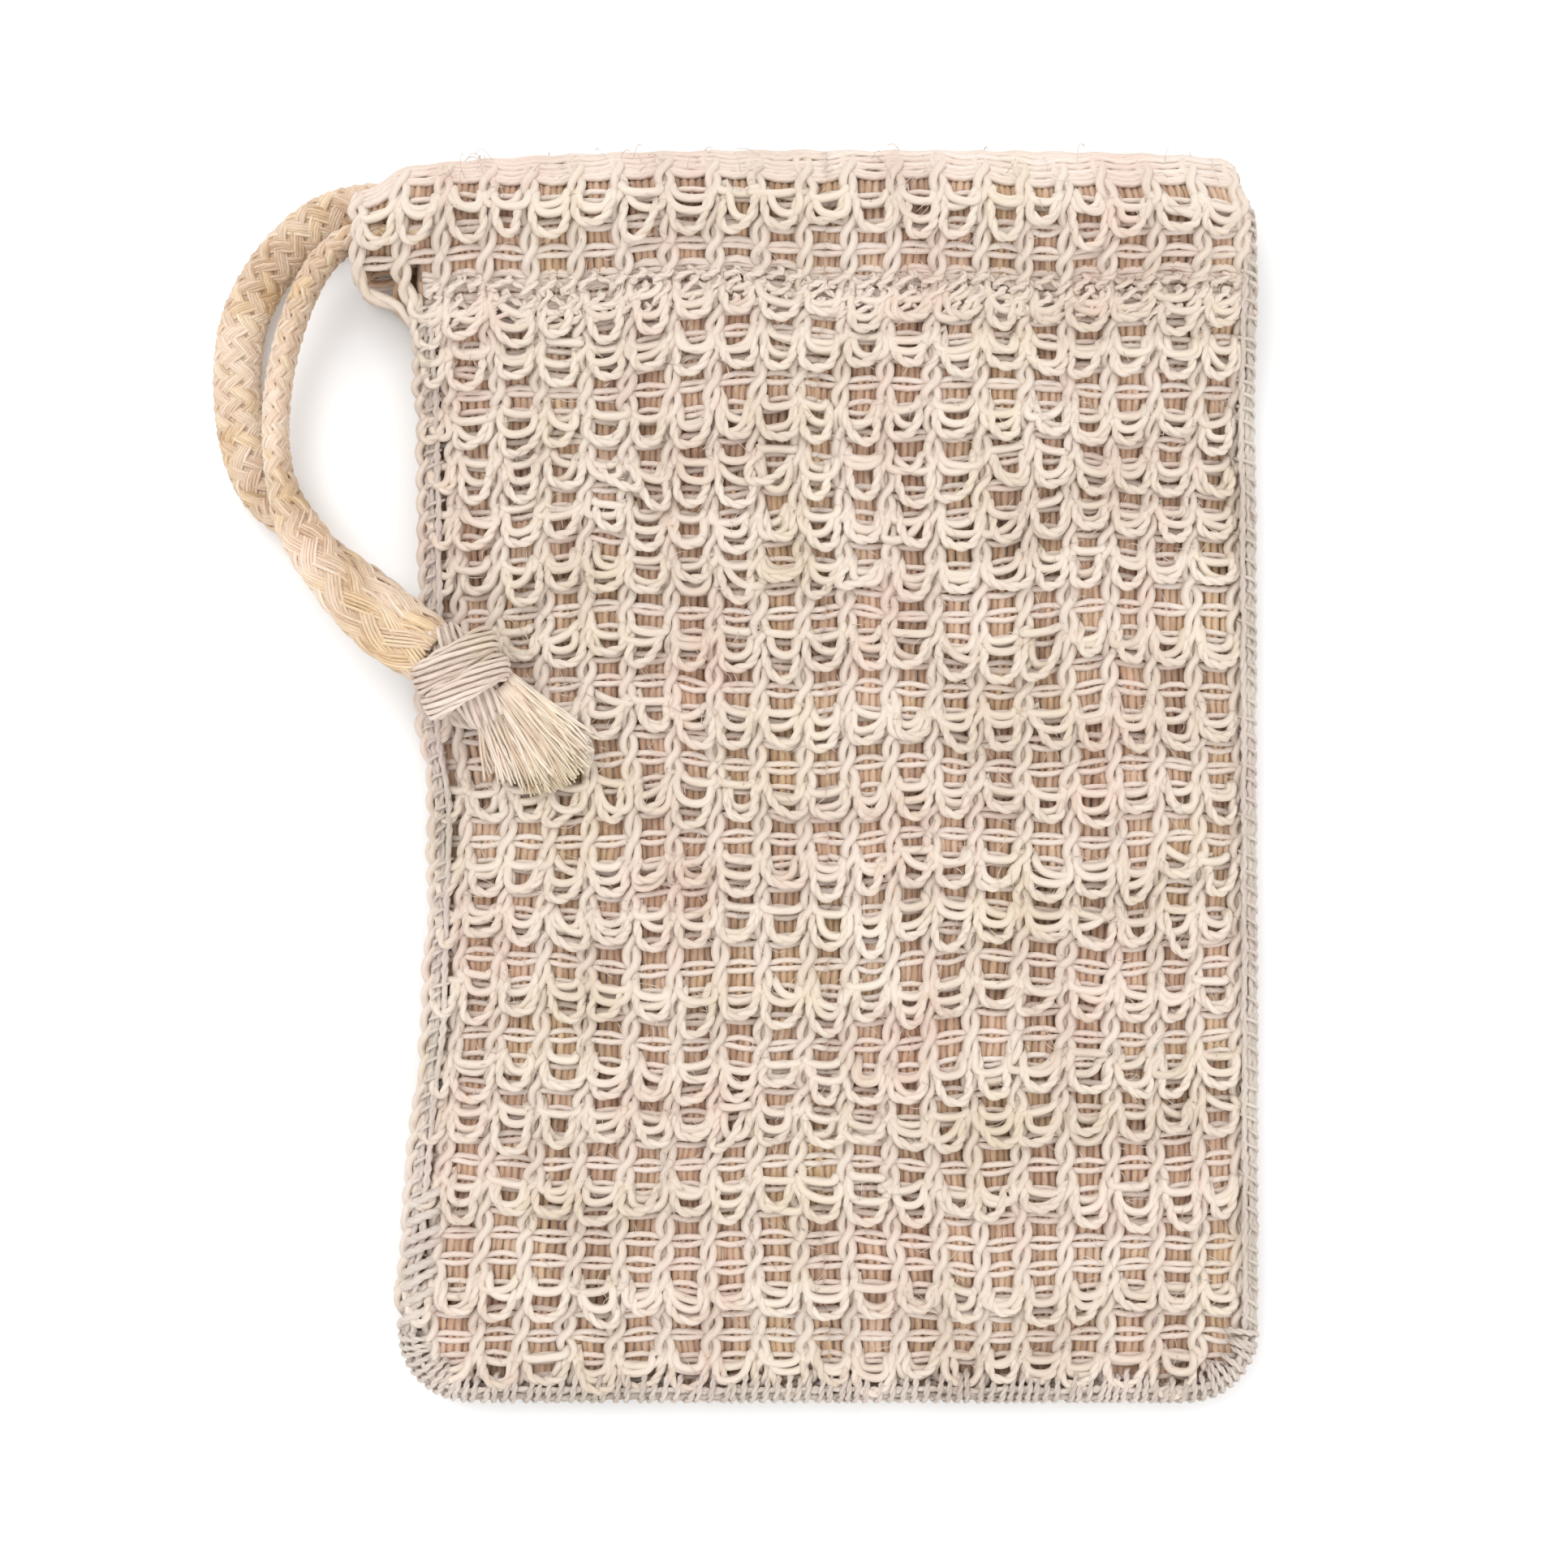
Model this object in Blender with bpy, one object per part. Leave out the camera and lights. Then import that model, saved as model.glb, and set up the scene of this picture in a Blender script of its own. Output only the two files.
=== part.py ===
"""Knitted exfoliating soap pouch with a braided drawstring, lying flat on its back panel.

X runs across the pouch, +Y towards the mouth, +Z up. The origin is the centre of the
back panel's underside. Run it with: blender --background --python part.py
"""

import math

import bmesh
import bpy
from mathutils import Vector

MM = 0.001

# The pouch.
BAG_WIDTH = 90 * MM
BAG_LENGTH = 134 * MM
CORNER_RADIUS = 8 * MM
WALL = 2.6 * MM  # one knitted wall, ground and loops
CROWN = 5.5 * MM  # how far the front wall stands off the back wall at its middle
GAP = 0.3 * MM  # clearance between pieces that touch
SEAM_WIDTH = 2.8 * MM
CLOSE_LENGTH = 16 * MM  # the length over which the walls come together at the bottom
RISE_LENGTH = 16 * MM  # the length over which the front wall climbs to its hem

# The hem casings around the mouth.
HEM_HEIGHT = 12.5 * MM
HEM_THICK = 6.4 * MM
CASING_WALL = 0.9 * MM
HEM_LEFT = -51.6 * MM  # the hem flares past the side seam where the cord leaves it
TURN_LENGTH = 8 * MM  # the closed right end, where the cord goes round
STITCH_WIDTH = 3.2 * MM
STITCH_THICK = 0.7 * MM
STITCH_INSET = 1.2 * MM  # from the hem's lower edge

# The middle strip of the front wall, which lifts when the mouth opens.
LIFT_LEFT = -24 * MM
LIFT_RIGHT = 27 * MM
LIFT_CLEARANCE = 0.9 * MM

# The drawstring.
CORD = 4.0 * MM
CORD_STEP = 2.2  # centreline spacing, in cord diameters
BEND_STEP = 0.5  # the same, where the cord bends
CORD_SIDES = 2  # bevel resolution of the cord
PIVOT = (-54.2 * MM, 59.6 * MM)  # both strands of the hanging loop swing about this place

HALF_WIDTH = BAG_WIDTH / 2
BOTTOM = -BAG_LENGTH / 2
TOP = BAG_LENGTH / 2
HEM_BOTTOM = TOP - HEM_HEIGHT
PANEL_TOP = HEM_BOTTOM - GAP
PANEL_BOTTOM = BOTTOM + SEAM_WIDTH + GAP
PANEL_INSET = SEAM_WIDTH + GAP
LIFT_BOTTOM = PANEL_BOTTOM + LIFT_CLEARANCE
FRONT_HEM_LOW = HEM_THICK + GAP
BACK_CORD_Z = HEM_THICK / 2
FRONT_CORD_Z = FRONT_HEM_LOW + HEM_THICK / 2
CASING_Y = HEM_BOTTOM + HEM_HEIGHT / 2
TURN_LEFT = HALF_WIDTH - TURN_LENGTH

# Routes of the two free strands, from the casing's mouth to the knot, in millimetres.
UPPER_STRAND = [
    (-54.2, 59.6, 3.2), (-55.9, 58.9, 2.7), (-58.3, 57.3, 2.3), (-61.2, 54.3, 2.05),
    (-64.0, 49.1, 2.05), (-65.0, 42.6, 2.05), (-64.6, 36.5, 2.05), (-62.0, 30.9, 2.1),
    (-58.2, 27.0, 2.3), (-54.8, 24.6, 3.2), (-51.2, 21.9, 5.4), (-48.2, 19.6, 7.6),
    (-45.0, 17.2, 9.0), (-42.6, 15.5, 9.7),
]
LOWER_STRAND = [
    (-54.2, 59.6, 9.9), (-54.9, 57.2, 9.6), (-55.6, 54.9, 8.9), (-56.6, 52.6, 8.1),
    (-58.1, 49.1, 6.8), (-59.6, 44.3, 5.4), (-60.4, 39.1, 5.0), (-60.4, 34.4, 5.5),
    (-59.5, 29.6, 6.6), (-57.3, 24.8, 7.6), (-53.6, 19.9, 8.9), (-50.4, 16.8, 10.5),
    (-47.2, 14.4, 12.3), (-44.6, 13.0, 13.2),
]

# The knot and the two frayed tails below it.
KNOT_CENTRE = (-39.6 * MM, 11.8 * MM, 12.0 * MM)
KNOT_SIZE = (9.6 * MM, 8.6 * MM, 8.6 * MM)
KNOT_TURNS = 3
TAIL_LENGTH = 12.5 * MM
TAIL_THICK = 2.6 * MM
TAIL_HEADINGS = {"tassel_left": -78, "tassel_right": -46}  # degrees from +X

COTTON = (0.84, 0.76, 0.66)
BRAID = (0.78, 0.66, 0.53)
FRAY = (0.83, 0.72, 0.56)
THREAD = (0.88, 0.82, 0.74)


def material(name, colour, roughness):
    """A matt Principled material of one colour."""
    made = bpy.data.materials.new(name)
    made.use_nodes = True
    shader = made.node_tree.nodes["Principled BSDF"]
    shader.inputs["Base Color"].default_value = (*colour, 1)
    shader.inputs["Roughness"].default_value = roughness
    shader.inputs["Metallic"].default_value = 0
    return made


def place(obj, parent):
    """Links an object under a parent empty, without moving it in the world."""
    bpy.context.scene.collection.objects.link(obj)
    if parent:
        obj.parent = parent
        obj.matrix_parent_inverse = parent.matrix_world.inverted()
    return obj


def mesh_object(name, points, faces, finish, parent=None):
    """A named mesh object, smooth but for its edges."""
    mesh = bpy.data.meshes.new(name)
    mesh.from_pydata([tuple(p) for p in points], [], faces)
    shape = bmesh.new()
    shape.from_mesh(mesh)
    bmesh.ops.recalc_face_normals(shape, faces=shape.faces)
    shape.to_mesh(mesh)
    shape.free()
    mesh.materials.append(finish)
    mesh.shade_smooth()
    mesh.set_sharp_from_angle(angle=math.radians(40))
    return place(bpy.data.objects.new(name, mesh), parent)


def joint_empty(name, position, parent=None):
    """An empty on a joint's axis, which the moving pieces hang from."""
    empty = bpy.data.objects.new(name, None)
    empty.empty_display_size = 10 * MM
    empty.location = position
    place(empty, None)
    bpy.context.view_layer.update()
    if parent:
        empty.parent = parent
        empty.matrix_parent_inverse = parent.matrix_world.inverted()
        bpy.context.view_layer.update()
    return empty


def smooth_step(t):
    t = min(max(t, 0.0), 1.0)
    return t * t * (3 - 2 * t)


def edge_x(y, inset):
    """The half width of the outline at y, with its round bottom corners, moved in by inset."""
    radius = CORNER_RADIUS - inset
    centre = BOTTOM + CORNER_RADIUS
    if y >= centre:
        return HALF_WIDTH - inset
    drop = min(centre - y, radius)
    return HALF_WIDTH - CORNER_RADIUS + math.sqrt(radius * radius - drop * drop)


def rise(y):
    """0 on the body of the pouch and 1 at the hem."""
    return smooth_step((y - (HEM_BOTTOM - RISE_LENGTH)) / RISE_LENGTH)


def front_low(x, y):
    """The underside of the front wall."""
    across = x / (HALF_WIDTH - SEAM_WIDTH)
    closing = smooth_step((y - PANEL_BOTTOM) / CLOSE_LENGTH)
    body = WALL + GAP + CROWN * max(0.0, 1 - across * across) * closing
    hem = FRONT_HEM_LOW + (HEM_THICK - WALL) / 2
    return body + (hem - body) * rise(y)


def front_high(x, y):
    """The front wall's outer side."""
    return front_low(x, y) + WALL


def panel_rows(low_y, high_y):
    """Where a panel's rows of points lie, closer together at the corners and near the hem."""
    centre = BOTTOM + CORNER_RADIUS
    radius = centre - low_y
    rows = [centre - radius * math.cos(math.radians(a)) for a in (0, 18, 36, 54, 72, 90)]
    rows += [centre + (high_y - centre) * n / 16 for n in range(1, 17)]
    return rows


def panel(name, left, right, columns, low, high, finish, parent=None, bottom=PANEL_BOTTOM):
    """A closed slab between two height functions and two side functions of y."""
    rows = panel_rows(bottom, PANEL_TOP)
    points = []
    for side in (low, high):
        for y in rows:
            x0, x1 = left(y), right(y)
            for n in range(columns + 1):
                x = x0 + (x1 - x0) * n / columns
                points.append((x, y, side(x, y)))
    width, depth = columns + 1, len(rows)
    layer = width * depth
    faces = []
    for r in range(depth - 1):
        for c in range(columns):
            a = r * width + c
            faces.append((a, a + width, a + width + 1, a + 1))
            b = a + layer
            faces.append((b, b + 1, b + width + 1, b + width))
    rim = [c for c in range(width)]
    rim += [r * width + columns for r in range(1, depth)]
    rim += [(depth - 1) * width + c for c in range(columns - 1, -1, -1)]
    rim += [r * width for r in range(depth - 2, 0, -1)]
    for n, a in enumerate(rim):
        b = rim[(n + 1) % len(rim)]
        faces.append((a, b, b + layer, a + layer))
    return mesh_object(name, points, faces, finish, parent)


def sweep_sections(name, sections, finish, parent=None):
    """A closed solid through a list of rings with the same number of points."""
    count = len(sections[0])
    points = [p for ring in sections for p in ring]
    faces = [tuple(range(count - 1, -1, -1))]
    for r in range(len(sections) - 1):
        for n in range(count):
            m = (n + 1) % count
            a = r * count
            faces.append((a + n, a + m, a + count + m, a + count + n))
    faces.append(tuple((len(sections) - 1) * count + n for n in range(count)))
    return mesh_object(name, points, faces, finish, parent)


def rounded_rectangle(width, height, radius, steps=3):
    """Points around a rectangle with round corners, counter-clockwise from its lower right."""
    points = []
    for quarter, (sx, sy) in enumerate(((1, -1), (1, 1), (-1, 1), (-1, -1))):
        cx = sx * (width / 2 - radius)
        cy = sy * (height / 2 - radius)
        for n in range(steps + 1):
            angle = math.radians(-90 + 90 * quarter + 90 * n / steps)
            points.append((cx + radius * math.cos(angle), cy + radius * math.sin(angle)))
    return points


def seam_height(y):
    """The side seam covers both walls, and climbs with the front wall towards the hem."""
    body = 2 * WALL + GAP
    hem = FRONT_HEM_LOW + (HEM_THICK + WALL) / 2
    return body + (hem - body) * rise(y)


def seam(name, path, finish):
    """An overlocked edge along a path of (x, y, outward direction) stations."""
    sections = []
    for x, y, (nx, ny) in path:
        height = seam_height(y)
        ring = rounded_rectangle(SEAM_WIDTH, height, 1.0 * MM)
        inner = SEAM_WIDTH / 2
        sections.append(
            [(x + nx * (u - inner), y + ny * (u - inner), v + height / 2) for u, v in ring]
        )
    return sweep_sections(name, sections, finish)


def side_seam(name, side, finish):
    low = BOTTOM + CORNER_RADIUS + GAP
    rows = [low + (PANEL_TOP - low) * n / 18 for n in range(19)]
    path = [(side * HALF_WIDTH, y, (side, 0)) for y in rows]
    if side > 0:
        path.reverse()
    return seam(name, path[::-1], finish)


def bottom_seam(name, finish):
    """The bottom edge, with both round corners."""
    path = []
    centre_y = BOTTOM + CORNER_RADIUS
    for side, angles in ((-1, range(180, 271, 15)), (1, range(270, 361, 15))):
        centre_x = side * (HALF_WIDTH - CORNER_RADIUS)
        for angle in angles:
            nx, ny = math.cos(math.radians(angle)), math.sin(math.radians(angle))
            path.append(
                (centre_x + CORNER_RADIUS * nx, centre_y + CORNER_RADIUS * ny, (nx, ny))
            )
    return seam(name, path, finish)


def hem_tube(name, left, right, low, finish, parent=None):
    """A flattened casing along X, open at both ends for the cord."""
    outer = rounded_rectangle(HEM_HEIGHT, HEM_THICK, 2.2 * MM)
    inner = rounded_rectangle(
        HEM_HEIGHT - 2 * CASING_WALL, HEM_THICK - 2 * CASING_WALL, 1.6 * MM
    )
    count = len(outer)
    stations = [left + (right - left) * n / 4 for n in range(5)]
    points = []
    for ring in (outer, inner):
        for x in stations:
            points += [(x, CASING_Y + u, low + HEM_THICK / 2 + v) for u, v in ring]
    layer = count * len(stations)
    faces = []
    for r in range(len(stations) - 1):
        for n in range(count):
            m = (n + 1) % count
            a = r * count
            faces.append((a + n, a + m, a + count + m, a + count + n))
            b = a + layer
            faces.append((b + m, b + n, b + count + n, b + count + m))
    last = (len(stations) - 1) * count
    for n in range(count):
        m = (n + 1) % count
        faces.append((n, n + layer, m + layer, m))
        faces.append((last + m, last + m + layer, last + n + layer, last + n))
    return mesh_object(name, points, faces, finish, parent)


def hem_turn(name, finish):
    """The closed right end of the hem: a cap over both casings, hollow for the cord's bend."""
    height = 2 * HEM_THICK + GAP
    reach = TURN_LENGTH
    profile = [(0.0, 1.0), (0.45, 1.0), (0.75, 0.93), (0.92, 0.78), (1.0, 0.55)]
    outer = [(TURN_LEFT + reach * t, share) for t, share in profile]
    inner_reach = reach - CASING_WALL
    inner = [(TURN_LEFT + inner_reach * t, share) for t, share in profile]
    size = (HEM_HEIGHT, height, 2.2 * MM)
    cut = (HEM_HEIGHT - 2 * CASING_WALL, height - 2 * CASING_WALL, 1.6 * MM)
    rings = []
    for stations, (wide, tall, radius) in ((outer, size), (inner, cut)):
        for x, share in stations:
            # only the height comes in at the end, so that the end stays a straight fold
            ring = rounded_rectangle(wide, tall * share, min(radius, tall * share / 2.2))
            rings.append([(x, CASING_Y + u, height / 2 + v) for u, v in ring])
    count = len(rings[0])
    points = [p for ring in rings for p in ring]
    faces = []
    half = len(profile)
    for r in range(half - 1):
        for n in range(count):
            m = (n + 1) % count
            a, b = r * count, (r + half) * count
            faces.append((a + n, a + m, a + count + m, a + count + n))
            faces.append((b + m, b + n, b + count + n, b + count + m))
    outer_end, inner_end = (half - 1) * count, (2 * half - 1) * count
    faces.append(tuple(outer_end + n for n in range(count)))
    faces.append(tuple(inner_end + n for n in range(count - 1, -1, -1)))
    mouth = half * count
    for n in range(count):
        m = (n + 1) % count
        faces.append((n, n + mouth, m + mouth, m))
    return mesh_object(name, points, faces, finish)


def stitching(name, left, right, surface, finish, parent=None):
    """A low ridge of stitches along the hem's lower edge, lying on a wall's surface."""
    y = PANEL_TOP - STITCH_INSET - STITCH_WIDTH / 2
    sections = []
    steps = 10
    for n in range(steps + 1):
        x = left + (right - left) * n / steps
        ring = []
        for u, v in rounded_rectangle(STITCH_WIDTH, STITCH_THICK, 0.3 * MM, 2):
            ring.append((x, y + u, surface(x, y + u) + GAP + STITCH_THICK / 2 + v))
        sections.append(ring)
    return sweep_sections(name, sections, finish, parent)


def catmull_rom(points, step):
    """A smooth curve through the points, read at an even spacing."""
    ends = [points[0] * 2 - points[1], *points, points[-1] * 2 - points[-2]]
    fine = []
    for a, b, c, d in zip(ends, ends[1:], ends[2:], ends[3:]):
        for n in range(24):
            t = n / 24
            fine.append(
                0.5
                * (
                    2 * b
                    + (c - a) * t
                    + (2 * a - 5 * b + 4 * c - d) * t * t
                    + (3 * b - a - 3 * c + d) * t**3
                )
            )
    fine.append(points[-1])
    along = [0.0]
    for a, b in zip(fine, fine[1:]):
        along.append(along[-1] + (b - a).length)
    count = max(2, round(along[-1] / step))
    read, k = [], 0
    for n in range(count + 1):
        at = along[-1] * n / count
        while k < len(fine) - 2 and along[k + 1] < at:
            k += 1
        part = (at - along[k]) / max(along[k + 1] - along[k], 1e-9)
        read.append(fine[k].lerp(fine[k + 1], part))
    return read


def cord_tube(name, points, finish, parent=None, step=CORD_STEP * CORD, dome=False):
    """A round cord with filled ends along a smooth curve through the points.

    A domed start is a half sphere about the first point, which can turn against its neighbour.
    """
    curve = bpy.data.curves.new(name, "CURVE")
    curve.dimensions = "3D"
    curve.bevel_depth = CORD / 2
    curve.bevel_resolution = CORD_SIDES
    curve.use_fill_caps = True
    curve.render_resolution_u = 0
    curve.materials.append(finish)
    spline = curve.splines.new("POLY")
    read = catmull_rom([Vector(p) for p in points], step)
    radii = [1.0] * len(read)
    if dome:
        back = (read[0] - read[1]).normalized() * CORD / 2
        angles = [math.radians(a) for a in (80, 55, 28)]
        radii = [math.cos(a) for a in angles] + radii
        read = [read[0] + back * math.sin(a) for a in angles] + read
    spline.points.add(len(read) - 1)
    for point, at, radius in zip(spline.points, read, radii):
        point.co = (*at, 1)
        point.radius = radius
    return place(bpy.data.objects.new(name, curve), parent)


def in_metres(route):
    return [tuple(c * MM for c in p) for p in route]


def casing_cord_route():
    """Along the back casing, round inside the right end, and back along the front casing."""
    middle = (BACK_CORD_Z + FRONT_CORD_Z) / 2
    radius = (FRONT_CORD_Z - BACK_CORD_Z) / 2
    bend_x = HALF_WIDTH - CASING_WALL - CORD / 2 - radius - 0.5 * MM
    route = [
        (LIFT_LEFT + GAP + n * (bend_x - LIFT_LEFT - GAP) / 8, CASING_Y, BACK_CORD_Z)
        for n in range(9)
    ]
    for n in range(1, 8):
        angle = math.radians(-90 + 180 * n / 8)
        route.append(
            (
                bend_x + radius * math.cos(angle),
                CASING_Y,
                middle + radius * math.sin(angle),
            )
        )
    route.append((bend_x, CASING_Y, FRONT_CORD_Z))
    route.append((LIFT_RIGHT + GAP, CASING_Y, FRONT_CORD_Z))
    return route


def knot(name, finish, parent):
    """An overhand knot as one lumpy solid: an ellipsoid with the grooves of its wraps."""
    steps, around = 20, 24
    rings = []
    for r in range(1, steps):
        polar = math.pi * r / steps
        ring = []
        for n in range(around):
            angle = 2 * math.pi * n / around
            axis = math.cos(polar)
            side = math.sin(polar)
            groove = 1 - 0.07 * side * (0.5 + 0.5 * math.cos(KNOT_TURNS * math.pi * axis))
            x = KNOT_SIZE[0] / 2 * axis
            y = KNOT_SIZE[1] / 2 * side * math.cos(angle) * groove
            z = KNOT_SIZE[2] / 2 * side * math.sin(angle) * groove
            turn = math.radians(38)
            ring.append(
                (
                    KNOT_CENTRE[0] + x * math.cos(turn) - y * math.sin(turn),
                    KNOT_CENTRE[1] + x * math.sin(turn) + y * math.cos(turn),
                    KNOT_CENTRE[2] + z,
                )
            )
        rings.append(ring)
    return sweep_sections(name, rings[::-1], finish, parent)


def tail(name, heading, finish, parent):
    """A frayed end: a flat wedge that fans out from the knot and droops onto the pouch."""
    angle = math.radians(heading)
    ahead = (math.cos(angle), math.sin(angle))
    aside = (-ahead[1], ahead[0])
    start = (
        KNOT_CENTRE[0] + ahead[0] * (KNOT_SIZE[1] / 2 + 1.0 * MM),
        KNOT_CENTRE[1] + ahead[1] * (KNOT_SIZE[1] / 2 + 1.0 * MM),
    )
    sections = []
    steps = 8
    for n in range(steps + 1):
        t = n / steps
        x = start[0] + ahead[0] * TAIL_LENGTH * t
        y = start[1] + ahead[1] * TAIL_LENGTH * t
        rest = front_high(x, y) + GAP + TAIL_THICK / 2
        z = max(rest, KNOT_CENTRE[2] + (rest - KNOT_CENTRE[2]) * smooth_step(1.6 * t))
        width = 2.6 * MM + 2.2 * MM * t
        ring = rounded_rectangle(width, TAIL_THICK, 0.9 * MM, 2)
        sections.append(
            [(x + aside[0] * u, y + aside[1] * u, z + 0.25 * MM + v) for u, v in ring]
        )
    return sweep_sections(name, sections, finish, parent)


def build_pouch(knit, thread):
    """Everything that stays put: the back wall, the front wall's sides, seams and hems."""
    strip_left = LIFT_LEFT - GAP
    strip_right = LIFT_RIGHT + GAP
    panel(
        "back_panel",
        lambda y: -edge_x(y, PANEL_INSET),
        lambda y: edge_x(y, PANEL_INSET),
        12,
        lambda x, y: 0.0,
        lambda x, y: WALL,
        knit,
    )
    panel(
        "front_panel_left",
        lambda y: -edge_x(y, PANEL_INSET),
        lambda y: strip_left,
        5,
        front_low,
        front_high,
        knit,
    )
    panel(
        "front_panel_right",
        lambda y: strip_right,
        lambda y: edge_x(y, PANEL_INSET),
        5,
        front_low,
        front_high,
        knit,
    )
    side_seam("left_side_seam", -1, thread)
    side_seam("right_side_seam", 1, thread)
    bottom_seam("bottom_seam", thread)
    hem_tube("back_hem", HEM_LEFT, TURN_LEFT - GAP, 0.0, knit)
    hem_tube("front_hem_left", HEM_LEFT, strip_left, FRONT_HEM_LOW, knit)
    hem_tube("front_hem_right", strip_right, TURN_LEFT - GAP, FRONT_HEM_LOW, knit)
    hem_turn("hem_right_end", knit)
    reach = HALF_WIDTH - PANEL_INSET
    stitching("front_hem_stitching_left", -reach, strip_left, front_high, thread)
    stitching("front_hem_stitching_right", strip_right, reach, front_high, thread)
    stitching("back_hem_stitching", -reach, reach, lambda x, y: WALL, thread)


def build_front_wall(knit, thread, parent):
    """The middle of the front wall, which lifts off the back wall as the mouth opens."""
    panel(
        "front_panel_middle",
        lambda y: LIFT_LEFT,
        lambda y: LIFT_RIGHT,
        10,
        front_low,
        front_high,
        knit,
        parent,
        LIFT_BOTTOM,
    )
    hem_tube(
        "front_hem_middle", LIFT_LEFT, LIFT_RIGHT, FRONT_HEM_LOW, knit, parent
    )
    stitching(
        "front_hem_stitching_middle",
        LIFT_LEFT,
        LIFT_RIGHT,
        front_high,
        thread,
        parent,
    )


def build_casing_cord(braid, front_wall):
    """The cord where the casing holds it."""
    cord_tube("casing_cord", casing_cord_route(), braid, step=BEND_STEP * CORD)
    cord_tube(
        "casing_cord_middle",
        [(LIFT_LEFT, CASING_Y, FRONT_CORD_Z), (LIFT_RIGHT, CASING_Y, FRONT_CORD_Z)],
        braid,
        front_wall,
    )


def build_drawstring(braid, fray, slider, swing):
    """The two ends that draw out of the casing, and the knotted loop that hangs from them."""
    upper, lower = in_metres(UPPER_STRAND), in_metres(LOWER_STRAND)
    for name, strand, z in (
        ("cord_end_back", upper, BACK_CORD_Z),
        ("cord_end_front", lower, FRONT_CORD_Z),
    ):
        start = (LIFT_LEFT - GAP, CASING_Y, z)
        end = (strand[0][0] + CORD / 2 + GAP, strand[0][1], z)
        route = [start, (-38 * MM, CASING_Y, z), (-46 * MM, strand[0][1], z), end]
        cord_tube(name, route, braid, slider)
    cord_tube("loop_strand_upper", upper, braid, swing, BEND_STEP * CORD, dome=True)
    cord_tube("loop_strand_lower", lower, braid, swing, BEND_STEP * CORD, dome=True)
    knot("knot", braid, swing)
    for name, heading in TAIL_HEADINGS.items():
        tail(name, heading, fray, swing)


def main():
    for obj in list(bpy.data.objects):
        bpy.data.objects.remove(obj)
    knit = material("knit_cotton", COTTON, 0.95)
    thread = material("stitch_thread", THREAD, 0.9)
    braid = material("cord_braid", BRAID, 0.85)
    fray = material("cord_fray", FRAY, 0.9)
    hinge_z = front_high(0, PANEL_BOTTOM)
    front_wall = joint_empty("front_wall_hinge", (0, LIFT_BOTTOM, hinge_z))
    slider = joint_empty("drawstring_slide", (HEM_LEFT, CASING_Y, FRONT_HEM_LOW))
    swing = joint_empty("loop_pivot", (*PIVOT, FRONT_HEM_LOW), slider)
    build_pouch(knit, thread)
    build_front_wall(knit, thread, front_wall)
    build_casing_cord(braid, front_wall)
    build_drawstring(braid, fray, slider, swing)


main()
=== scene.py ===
"""Looks of the knitted soap pouch: both walls are knitted yarn by yarn around the CAD frame.

Lengths here are in millimetres, in the CAD's frame, and are turned into metres when a mesh is made.
"""

import math
from collections import namedtuple

import bpy
import numpy as np
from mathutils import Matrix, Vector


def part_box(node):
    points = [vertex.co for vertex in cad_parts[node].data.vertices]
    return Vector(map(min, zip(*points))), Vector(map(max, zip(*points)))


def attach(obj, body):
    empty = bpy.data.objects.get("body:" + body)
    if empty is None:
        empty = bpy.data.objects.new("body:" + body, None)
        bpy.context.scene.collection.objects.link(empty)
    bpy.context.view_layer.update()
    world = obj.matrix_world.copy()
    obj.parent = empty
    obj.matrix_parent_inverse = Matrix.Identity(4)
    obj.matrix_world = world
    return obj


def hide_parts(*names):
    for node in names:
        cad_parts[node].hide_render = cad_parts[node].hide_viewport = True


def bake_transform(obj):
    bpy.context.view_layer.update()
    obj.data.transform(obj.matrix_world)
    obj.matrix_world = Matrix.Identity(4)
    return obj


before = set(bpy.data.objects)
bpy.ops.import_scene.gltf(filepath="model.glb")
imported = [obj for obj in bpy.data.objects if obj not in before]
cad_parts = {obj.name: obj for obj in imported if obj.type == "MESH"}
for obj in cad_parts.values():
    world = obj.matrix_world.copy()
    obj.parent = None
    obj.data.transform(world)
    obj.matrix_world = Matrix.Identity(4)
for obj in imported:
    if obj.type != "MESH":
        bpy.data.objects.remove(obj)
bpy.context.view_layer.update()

MM = 0.001


# ---- sizes, from the frame


def box_mm(node):
    """A CAD node's lowest and highest corners, in millimetres."""
    low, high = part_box(node)
    return np.array(low) / MM, np.array(high) / MM


HEM_LOW, HEM_HIGH = box_mm("front_hem_left")
TURN_LOW, TURN_HIGH = box_mm("hem_right_end")
SEAM_LOW, SEAM_HIGH = box_mm("bottom_seam")

HALF_WIDTH = SEAM_HIGH[0]
BOTTOM = SEAM_LOW[1]
TOP = HEM_HIGH[1]
HEM_BOTTOM = HEM_LOW[1]
HEM_LEFT = HEM_LOW[0]
EDGE_THICK = SEAM_HIGH[2]
HEM_MIDDLE = (TURN_LOW[2] + TURN_HIGH[2]) / 2
CORNER_RADIUS = 8.0
CROWN = 5.5  # the CAD front wall's stand-off at its middle
CLOSE_LENGTH = 16.0  # over which the hollow closes towards the bottom edge
RISE_LENGTH = 16.0  # over which the walls rise to the hem
WIDE = 60.0  # past both sides of the pouch

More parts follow.
